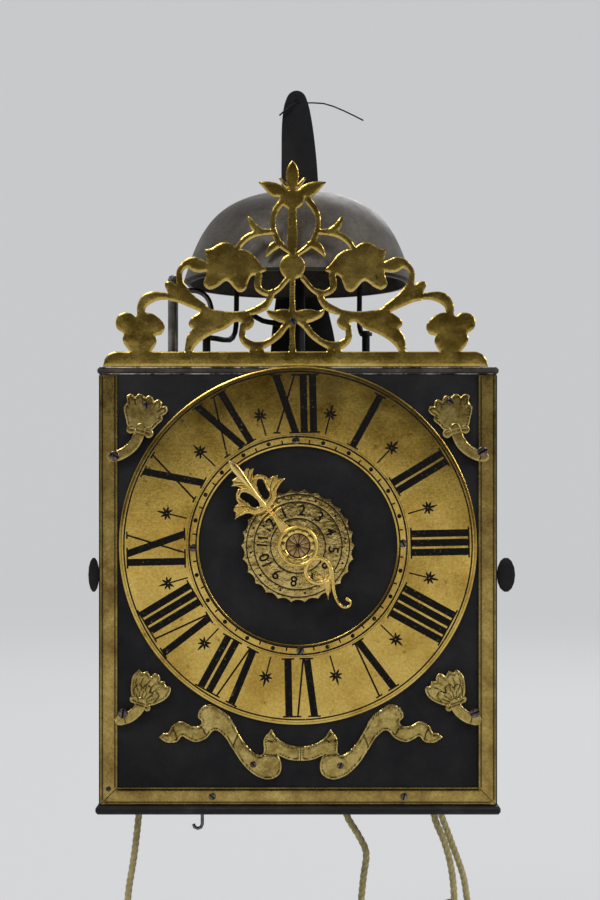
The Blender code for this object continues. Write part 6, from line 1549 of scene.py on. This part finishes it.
def make_disc():
    bore = circle(0.0060, 40)
    front = DISC_LOW.y
    back = DISC_HIGH.y
    lines = [(ring_path(r), 0.00022, 0.00012) for r in DISC_CIRCLES]
    disc = relief("alarm_setting_disc", "alarm_disc", DISC_BRASS, [scalloped_edge()], back,
                  back - front, 0.00025, 0.0005, holes=[bore], lines=lines, spacing=0.0016)
    place_mesh(bend(disc), DIAL_X, 0, DIAL_Z)
    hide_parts("alarm_disc")
    thick = []
    for i, radius in enumerate(DISC_CIRCLES):
        thick.append(band(f"disc_circle_{i}", radius - 0.00032, radius + 0.00032, WAX, 0,
                          lambda r: front - INK_RISE / 2, back, "alarm_disc", 0, 0))
    place_mesh(bend(join_pieces("alarm_disc_circles", thick)), DIAL_X, 0, DIAL_Z)
    marks = []
    for hour in range(1, 13):
        angle = FULL_TURN * hour / 12 + ALARM_TURN
        mesh = text_mesh(str(hour), ALARM_DIGIT_SIZE)
        mesh.transform(Matrix.Translation((0, front - INK_RISE / 2, ALARM_DIGIT_RADIUS)))
        mesh.transform(Matrix.Rotation(angle, 4, "Y"))
        marks.append(add_object(f"digit_{hour}", mesh, WAX, "alarm_disc"))
        dot_angle = angle + FULL_TURN / 24
        dot = [tuple(p) for p in turned(shifted(circle(0.00075, 16), 0, ALARM_DOT_RADIUS), dot_angle)]
        verts = [(x, front - INK_RISE, z) for x, z in dot]
        marks.append(add_object(f"dot_{hour}", mesh_from(verts, [tuple(range(len(verts)))]), WAX,
                                "alarm_disc"))
    numbers = join_pieces("alarm_disc_numbers", marks)
    place_mesh(bend(numbers), DIAL_X, 0, DIAL_Z)


# Hour hand
HAND_BACK_Y = HAND_HIGH.y
HAND_THICKNESS = 0.0018
BOSS_RADIUS = 0.0122
BOSS_FRONT_Y = HAND_LOW.y
HAND_RING_SHARE = 11.5
HAND_RING_PLACE_SHARE = -29.3
HAND_VEINS = [
    [(9.1, 83.2), (6, 80), (3, 77)], [(13.4, 80.4), (8, 77.5), (3, 73)],
    [(21.5, 62.5), (17, 60), (13.5, 57)], [(26, 56.5), (20, 56), (14.5, 54.5)],
    [(15.5, 68), (13.8, 62), (12.2, 55), (8.6, 50), (3.2, 48.4)],
    [(3.5, 71.5), (8, 73.5), (12, 71.6)],
]
LANCE_SHARES = [(0, 100.5), (1.2, 98.6), (3.2, 94), (3.7, 89), (3.2, 83), (2.4, 75), (1.7, 66), (1.2, 56),
                (1.0, 47), (0, 46)]
HAND_BAR_SHARES = (37.4, 41.2)


HAND_CURL_SHARES = [
    ([(-8.5, -36.5), (-5.0, -38.2), (-2.0, -35.0), (-4.2, -32.2)], [1.4, 1.7, 1.9, 1.6]),
    ([(6.5, -38.5), (3.2, -37.2), (2.2, -40.2), (4.2, -42.2)], [1.2, 1.5, 1.4, 1.0]),
]


def hand_place(points):
    return turned(points, -HAND_TURN)


def make_hand():
    size = HAND_LENGTH
    right = scaled([(x, z) for x, z in HAND_HEAD_SHARES if not (x > 9 and 37 < z < 42)], size)
    head = right + mirrored(right)
    hole = soften(scaled(HAND_HOLE_SHARES, size), 0.0004)
    veins = [scaled(path, size) for path in HAND_VEINS]
    veins += [mirrored(path) for path in veins]
    lines = [([Vector(p) for p in hand_place([tuple(v) for v in smooth_path([Vector(q) for q in path],
                                                                          4)])], 0.00022, 0.0004)
             for path in veins]
    pieces = [relief("hand_head", "hour_hand", HAND_BRASS, [hand_place(soften(head, 0.0005, 60))],
                     HAND_BACK_Y, HAND_THICKNESS, 0.0005, 0.0006,
                     holes=[hand_place(hole), hand_place(mirrored(hole))],
                     lines=lines, spacing=0.0004)]
    lance = scaled(LANCE_SHARES, size)
    pieces.append(relief("hand_lance", "hour_hand", HAND_BRASS,
                         [hand_place(soften(lance + mirrored(lance)[1:-1], 0.0004, 60))], HAND_BACK_Y,
                         HAND_THICKNESS * 1.28, 0.0008, 0.0019, spacing=0.00035))
    for z in HAND_BAR_SHARES:
        outline = [(x * size / 100, up * size / 100) for x, up in bar(-9.6, z, 9.6, z, 1.5, 1.0)]
        pieces.append(relief("hand_bar", "hour_hand", HAND_BRASS, [hand_place(outline)], HAND_BACK_Y,
                             HAND_THICKNESS * 1.25, 0.0004, 0.0004, spacing=0.0003))
    ring_z = HAND_RING_PLACE_SHARE * size / 100
    ring_mid = HAND_RING_SHARE * size / 100
    pieces.append(relief("hand_ring", "hour_hand", HAND_BRASS,
                         [hand_place(shifted(circle(ring_mid * 1.17, 64), 0, ring_z))], HAND_BACK_Y,
                         HAND_THICKNESS, 0.0009, 0.0009,
                         holes=[hand_place(shifted(circle(ring_mid * 0.83, 64), 0, ring_z))],
                         spacing=0.00045))
    pieces.append(relief("hand_tail", "hour_hand", HAND_BRASS,
                         [hand_place(scroll(HAND_TAIL_SHARES, size, 6)),
                          hand_place(soften(scaled(HAND_THORN_SHARES, size), 0.0005))],
                         HAND_BACK_Y, HAND_THICKNESS, 0.0009, 0.0010, spacing=0.00045))
    pieces.append(relief("hand_curls", "hour_hand", HAND_BRASS,
                         [hand_place(scroll(shares, size, 6)) for shares in HAND_CURL_SHARES],
                         HAND_BACK_Y, HAND_THICKNESS * 0.9, 0.0006, 0.0006, spacing=0.00035))
    hand = join_pieces("hour_hand_casting", pieces)
    place_mesh(hand, DIAL_X, 0, DIAL_Z)
    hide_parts("hour_hand")
    make_boss()


BOSS_PETALS = 12
ROSETTE_SPOKES = 11
BOSS_DARK_RADIUS = 0.0076
ROSETTE_RADIUS = 0.0068


def boss_height(radius, angle):
    """How far the boss stands forward of the hand's back."""
    full = HAND_BACK_Y - BOSS_FRONT_Y
    if radius < ROSETTE_RADIUS:
        spoke = abs(math.cos(ROSETTE_SPOKES / 2 * angle)) ** 0.7
        share = radius / ROSETTE_RADIUS
        lobe = math.sin(math.pi * min(1, max(0, (share - 0.25) / 0.75))) if share > 0.25 else 0
        return full * (0.80 + 0.10 * lobe * spoke + 0.06 * max(0, 1 - (share / 0.22) ** 2))
    if radius < BOSS_DARK_RADIUS:
        return full * 0.70
    if radius < BOSS_RADIUS * 0.86:
        share = (radius - BOSS_DARK_RADIUS) / (BOSS_RADIUS * 0.86 - BOSS_DARK_RADIUS)
        petal_edge = abs(math.cos(BOSS_PETALS / 2 * angle)) ** 0.6
        return full * (0.78 + 0.12 * math.sin(math.pi * share) ** 0.7 * petal_edge)
    share = (radius - BOSS_RADIUS * 0.86) / (BOSS_RADIUS * 0.14)
    return full * (0.72 + 0.20 * math.sin(math.pi * min(1, share * 0.9 + 0.1)) ** 0.8) * (
        1 if share < 0.9 else 0.96)


def boss_groove(radius, angle):
    """How dark the boss's engraving is."""
    if radius < ROSETTE_RADIUS:
        share = radius / ROSETTE_RADIUS
        spoke = abs(math.cos(ROSETTE_SPOKES / 2 * angle))
        line = max(0, 1.3 - spoke * radius * 600)
        return max(line, 1 if share < 0.13 else 0, max(0, (share - 0.9) * 6))
    if radius < BOSS_DARK_RADIUS:
        return 1.0
    share = (radius - BOSS_DARK_RADIUS) / (BOSS_RADIUS * 0.86 - BOSS_DARK_RADIUS)
    if share > 1:
        return 0.5 if share < 1.12 else 0.0
    arch = BOSS_PETALS / 2 * angle
    edge = abs(share - 0.35 - 0.5 * abs(math.cos(arch)) ** 0.5)
    return max(0, 1 - edge * 7, 0.9 - abs(math.cos(arch)) * 8)


def make_boss():
    rings = 46
    sides = 264
    verts = [(0, HAND_BACK_Y - boss_height(0, 0), 0)]
    groove = [0.0]
    for ring in range(1, rings + 1):
        radius = BOSS_RADIUS * ring / rings
        for i in range(sides):
            angle = FULL_TURN * i / sides
            height = boss_height(radius, angle)
            verts.append((radius * math.cos(angle), HAND_BACK_Y - height, radius * math.sin(angle)))
            groove.append(boss_groove(radius, angle))
    last = len(verts)
    for i in range(sides):
        angle = FULL_TURN * i / sides
        verts.append((BOSS_RADIUS * math.cos(angle), HAND_BACK_Y, BOSS_RADIUS * math.sin(angle)))
        groove.append(0.0)
    faces = [(0, 1 + i, 1 + (i + 1) % sides) for i in range(sides)]
    for ring in range(rings):
        low = 1 + ring * sides
        for i in range(sides):
            k = (i + 1) % sides
            faces.append((low + i, low + sides + i, low + sides + k, low + k))
    faces.append(tuple(range(last, last + sides))[::-1])
    mesh = face_outward(mesh_from(verts, faces))
    store(mesh, "groove", groove)
    store(mesh, "edge", np.zeros(len(verts)))
    boss = add_object("hour_hand_boss", mesh, HAND_BRASS, "hour_hand", 50)
    mesh.materials.append(ROSETTE_METAL)
    for polygon in mesh.polygons:
        middle = polygon.center
        if math.hypot(middle.x, middle.z) < BOSS_DARK_RADIUS * 0.97 and len(polygon.vertices) < 5:
            polygon.material_index = 1
    place_mesh(boss, DIAL_X, 0, DIAL_Z)


# Screws that hold the brass, each with its place in the dial's plane and its radius
CORNER_SCREWS = [(-0.1098, 0.2145, 0.0032), (-0.0906, 0.2448, 0.0022), (0.1103, 0.2170, 0.0032),
                 (0.0910, 0.2470, 0.0022), (-0.1046, 0.0606, 0.0030), (0.1056, 0.0609, 0.0030)]
BORDER_SCREWS = [(-0.0514, 0.0104, 0.0022), (0.0635, 0.0104, 0.0022), (-0.1136, 0.0150, 0.0016)]
RIBBON_SCREWS = [(-0.0268, 0.0298, 0.0020), (0.0254, 0.0290, 0.0020)]
DIAL_SCREW_RADIUS = 0.0630
DIAL_SCREW = 0.0024
STEM_SCREW_SINK = 0.0024
CREST_SCREW = (0.0004, -0.0742, 0.2955, 0.0024)
FIRST_SLOT_TURN = 0.4
SLOT_TURN_STEP = 1.1


def make_screws():
    places = [(x, LAP_BACK_Y - STEM_SCREW_SINK, z, radius) for x, z, radius in CORNER_SCREWS]
    places += [(x, TRIM_BACK_Y - BORDER_THICKNESS, z, radius) for x, z, radius in BORDER_SCREWS]
    places += [(x, TRIM_BACK_Y - RIBBON_THICKNESS, z, radius) for x, z, radius in RIBBON_SCREWS]
    for quarter in range(4):
        angle = FULL_TURN * quarter / 4 - DIAL_TURN
        places.append((DIAL_X + DIAL_SCREW_RADIUS * math.sin(angle),
                       float(dial_face_y(DIAL_SCREW_RADIUS)),
                       DIAL_Z + DIAL_SCREW_RADIUS * math.cos(angle), DIAL_SCREW))
    x, y, z, radius = CREST_SCREW
    places.append((CREST_CENTRE_X + x, y, z, radius))
    heads = []
    slots = []
    for i, (x, y, z, radius) in enumerate(places):
        turn = FIRST_SLOT_TURN + SLOT_TURN_STEP * i
        heads.append(slotted_screw("screw", x, y, z, radius, turn, SCREW_STEEL))
        slots.append(slot_dirt(x, y, z, radius, turn))
    join_pieces("slotted_screws", heads)
    join_pieces("screw_slots", slots)


# Stage and light
FLOOR_Z = -0.2000
BOWL_RADIUS = 7.0
BOWL_BEND = 2.5
BOWL_HEIGHT = 5.0
BACKDROP = (0.665, 0.67, 0.68)
SHADOW_SHARE = 0.25
CARD_Y = -2.60
WORLD_COLOUR = (0.95, 0.97, 1.0)
WORLD_STRENGTH = 0.55
LIT_POINT = (0, 0, 0.15)
# Each lamp's place, size and power
LAMPS = [
    ("key_lamp", (-1.2, -1.9, 2.6), (1.2, 1.2), 40),
    ("fill_lamp", (2.3, -1.4, 1.6), (1.2, 1.2), 30),
    ("back_lamp", (0.6, 2.4, 2.2), (1.6, 1.6), 40),
]
# Each card's lower left and upper right corner and its colour
CARDS = [
    ("dark_card", (-3.0, 0.20), (3.0, 3.0), (0.05, 0.045, 0.04)),
    ("window_card", (-1.3, 0.0), (1.3, 0.20), (1.0, 1.0, 1.0)),
    ("room_card", (-3.0, -0.19), (3.0, 0.0), (0.55, 0.55, 0.55)),
]


def camera_seen(tree):
    """One for rays from the camera, in a mirror or through glass."""
    path = tree.nodes.new("ShaderNodeLightPath")
    seen = maths(tree, "ADD", path.outputs["Is Camera Ray"], path.outputs["Is Glossy Ray"], True)
    return maths(tree, "ADD", seen, path.outputs["Is Transmission Ray"], True)


def make_stage():
    material, tree, shader = new_material("pale_backdrop")
    shader.inputs["Base Color"].default_value = (*BACKDROP, 1)
    shader.inputs["Roughness"].default_value = 1
    glow = tree.nodes.new("ShaderNodeEmission")
    glow.inputs["Color"].default_value = (*BACKDROP, 1)
    mixer = tree.nodes.new("ShaderNodeMixShader")
    tree.links.new(maths(tree, "MULTIPLY", camera_seen(tree), 1 - SHADOW_SHARE), mixer.inputs[0])
    tree.links.new(shader.outputs[0], mixer.inputs[1])
    tree.links.new(glow.outputs[0], mixer.inputs[2])
    tree.links.new(mixer.outputs[0], tree.nodes["Material Output"].inputs["Surface"])
    profile = [(0.01, FLOOR_Z), (1.0, FLOOR_Z), (BOWL_RADIUS - BOWL_BEND, FLOOR_Z)]
    for i in range(1, 13):
        angle = math.pi / 2 * i / 12
        profile.append((BOWL_RADIUS - BOWL_BEND + BOWL_BEND * math.sin(angle),
                        FLOOR_Z + BOWL_BEND * (1 - math.cos(angle))))
    profile.append((BOWL_RADIUS, FLOOR_Z + BOWL_HEIGHT))
    steps = 96
    verts = []
    faces = []
    for r, z in profile:
        verts += [(r * math.cos(FULL_TURN * i / steps), r * math.sin(FULL_TURN * i / steps), z)
                  for i in range(steps)]
    for ring in range(len(profile) - 1):
        for i in range(steps):
            k = (i + 1) % steps
            faces.append((ring * steps + i, (ring + 1) * steps + i, (ring + 1) * steps + k,
                          ring * steps + k))
    faces.append(tuple(range(steps)))
    mesh = mesh_from(verts, faces)
    mesh.shade_smooth()
    mesh.materials.append(material)
    floor = bpy.data.objects.new("floor", mesh)
    bpy.context.scene.collection.objects.link(floor)


def add_card(name, low, high, y, colour):
    """A glowing or dark card behind the camera, which only the metal's reflections see."""
    material, tree, _ = new_material(name)
    glow = tree.nodes.new("ShaderNodeEmission")
    glow.inputs["Color"].default_value = (*colour, 1)
    tree.links.new(glow.outputs[0], tree.nodes["Material Output"].inputs["Surface"])
    (x_low, z_low), (x_high, z_high) = low, high
    mesh = mesh_from([(x_low, y, z_low), (x_high, y, z_low), (x_high, y, z_high), (x_low, y, z_high)],
                     [(0, 1, 2, 3)])
    mesh.materials.append(material)
    card = bpy.data.objects.new(name, mesh)
    bpy.context.scene.collection.objects.link(card)
    card.visible_camera = False
    card.visible_shadow = False
    card.visible_diffuse = False


def add_lamp(name, place, target, size, power, colour=(1, 1, 1)):
    lamp = bpy.data.lights.new(name, "AREA")
    lamp.shape = "RECTANGLE"
    lamp.size, lamp.size_y = size
    lamp.energy = power
    lamp.color = colour
    obj = bpy.data.objects.new(name, lamp)
    bpy.context.scene.collection.objects.link(obj)
    obj.location = place
    obj.rotation_euler = (Vector(target) - Vector(place)).to_track_quat("-Z", "Y").to_euler()
    return obj


def make_light():
    world = bpy.data.worlds.new("pale_world")
    bpy.context.scene.world = world
    world.use_nodes = True
    background = world.node_tree.nodes["Background"]
    background.inputs["Color"].default_value = (*WORLD_COLOUR, 1)
    background.inputs["Strength"].default_value = WORLD_STRENGTH
    for name, place, size, power in LAMPS:
        add_lamp(name, place, LIT_POINT, size, power)
    for name, low, high, colour in CARDS:
        add_card(name, low, high, CARD_Y, colour)


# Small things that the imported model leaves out
WIRE_RADIUS = 0.0006
TWIST_CENTRE = (-0.0010, 0.0775, 0.4625)
TWIST_TURNS = 3
TWIST_STEPS = 40
TWIST_GROWTH = 0.0006
TWIST_SWAY = 0.0002


def make_wire_twist():
    """The hanging wire's turns inside the strap's hole."""
    x, y, z = TWIST_CENTRE
    path = []
    for i in range(TWIST_TURNS * TWIST_STEPS + 1):
        angle = FULL_TURN * i / TWIST_STEPS
        radius = WIRE_RADIUS + TWIST_GROWTH * i / TWIST_STEPS
        path.append((x + radius * math.cos(angle), y - TWIST_SWAY * math.sin(angle * 2),
                     z + radius * math.sin(angle)))
    wire("wire_twist", path, WIRE_RADIUS * 0.9, IRON, "cage", 8)


# Each pale edge line's depth under the top plate's upper face, and its radius
PALE_EDGE_LINES = [(0.0004, 0.00042), (0.0042, 0.00030)]
PALE_EDGE_INSET = 0.003
PALE_EDGE_DEPTH = 0.0003
PALE_EDGE_STEP = 0.004


def make_worn_edges():
    """Pale metal lines along the top plate's front edges, broken up by the iron's black."""
    material, tree, shader = new_material("pale_plate_edge")
    chips = ramp(tree, noise(tree, 90, 6, 0.75, (1, 1, 1)), [(0.46, 0.0), (0.58, 1.0)])
    tree.links.new(blend(tree, chips, (0.012, 0.011, 0.011), (0.42, 0.38, 0.33)),
                   shader.inputs["Base Color"])
    tree.links.new(ramp(tree, noise(tree, 200, 4), [(0.3, 0.35), (0.7, 0.6)]),
                   shader.inputs["Roughness"])
    shader.inputs["Metallic"].default_value = 0.6
    pieces = []
    low, high = node_box("top_plate")
    y = low.y + PALE_EDGE_DEPTH
    for below, radius in PALE_EDGE_LINES:
        z = high.z - below
        path = even_path([(low.x + PALE_EDGE_INSET, y, z), (high.x - PALE_EDGE_INSET, y, z)], PALE_EDGE_STEP)
        pieces.append(wire("edge", path, radius, material, "cage", 8))
    join_pieces("plate_pale_edge", pieces)


make_camera()
make_ropes()
dress_nodes()
make_dial()
make_dial_marks()
make_borders()
make_corners()
make_ribbons()
make_crest()
make_strap()
make_bell()
make_disc()
make_hand()
make_screws()
make_wire_twist()
make_worn_edges()
make_stage()
make_light()
bpy.context.scene.view_settings.view_transform = "Standard"
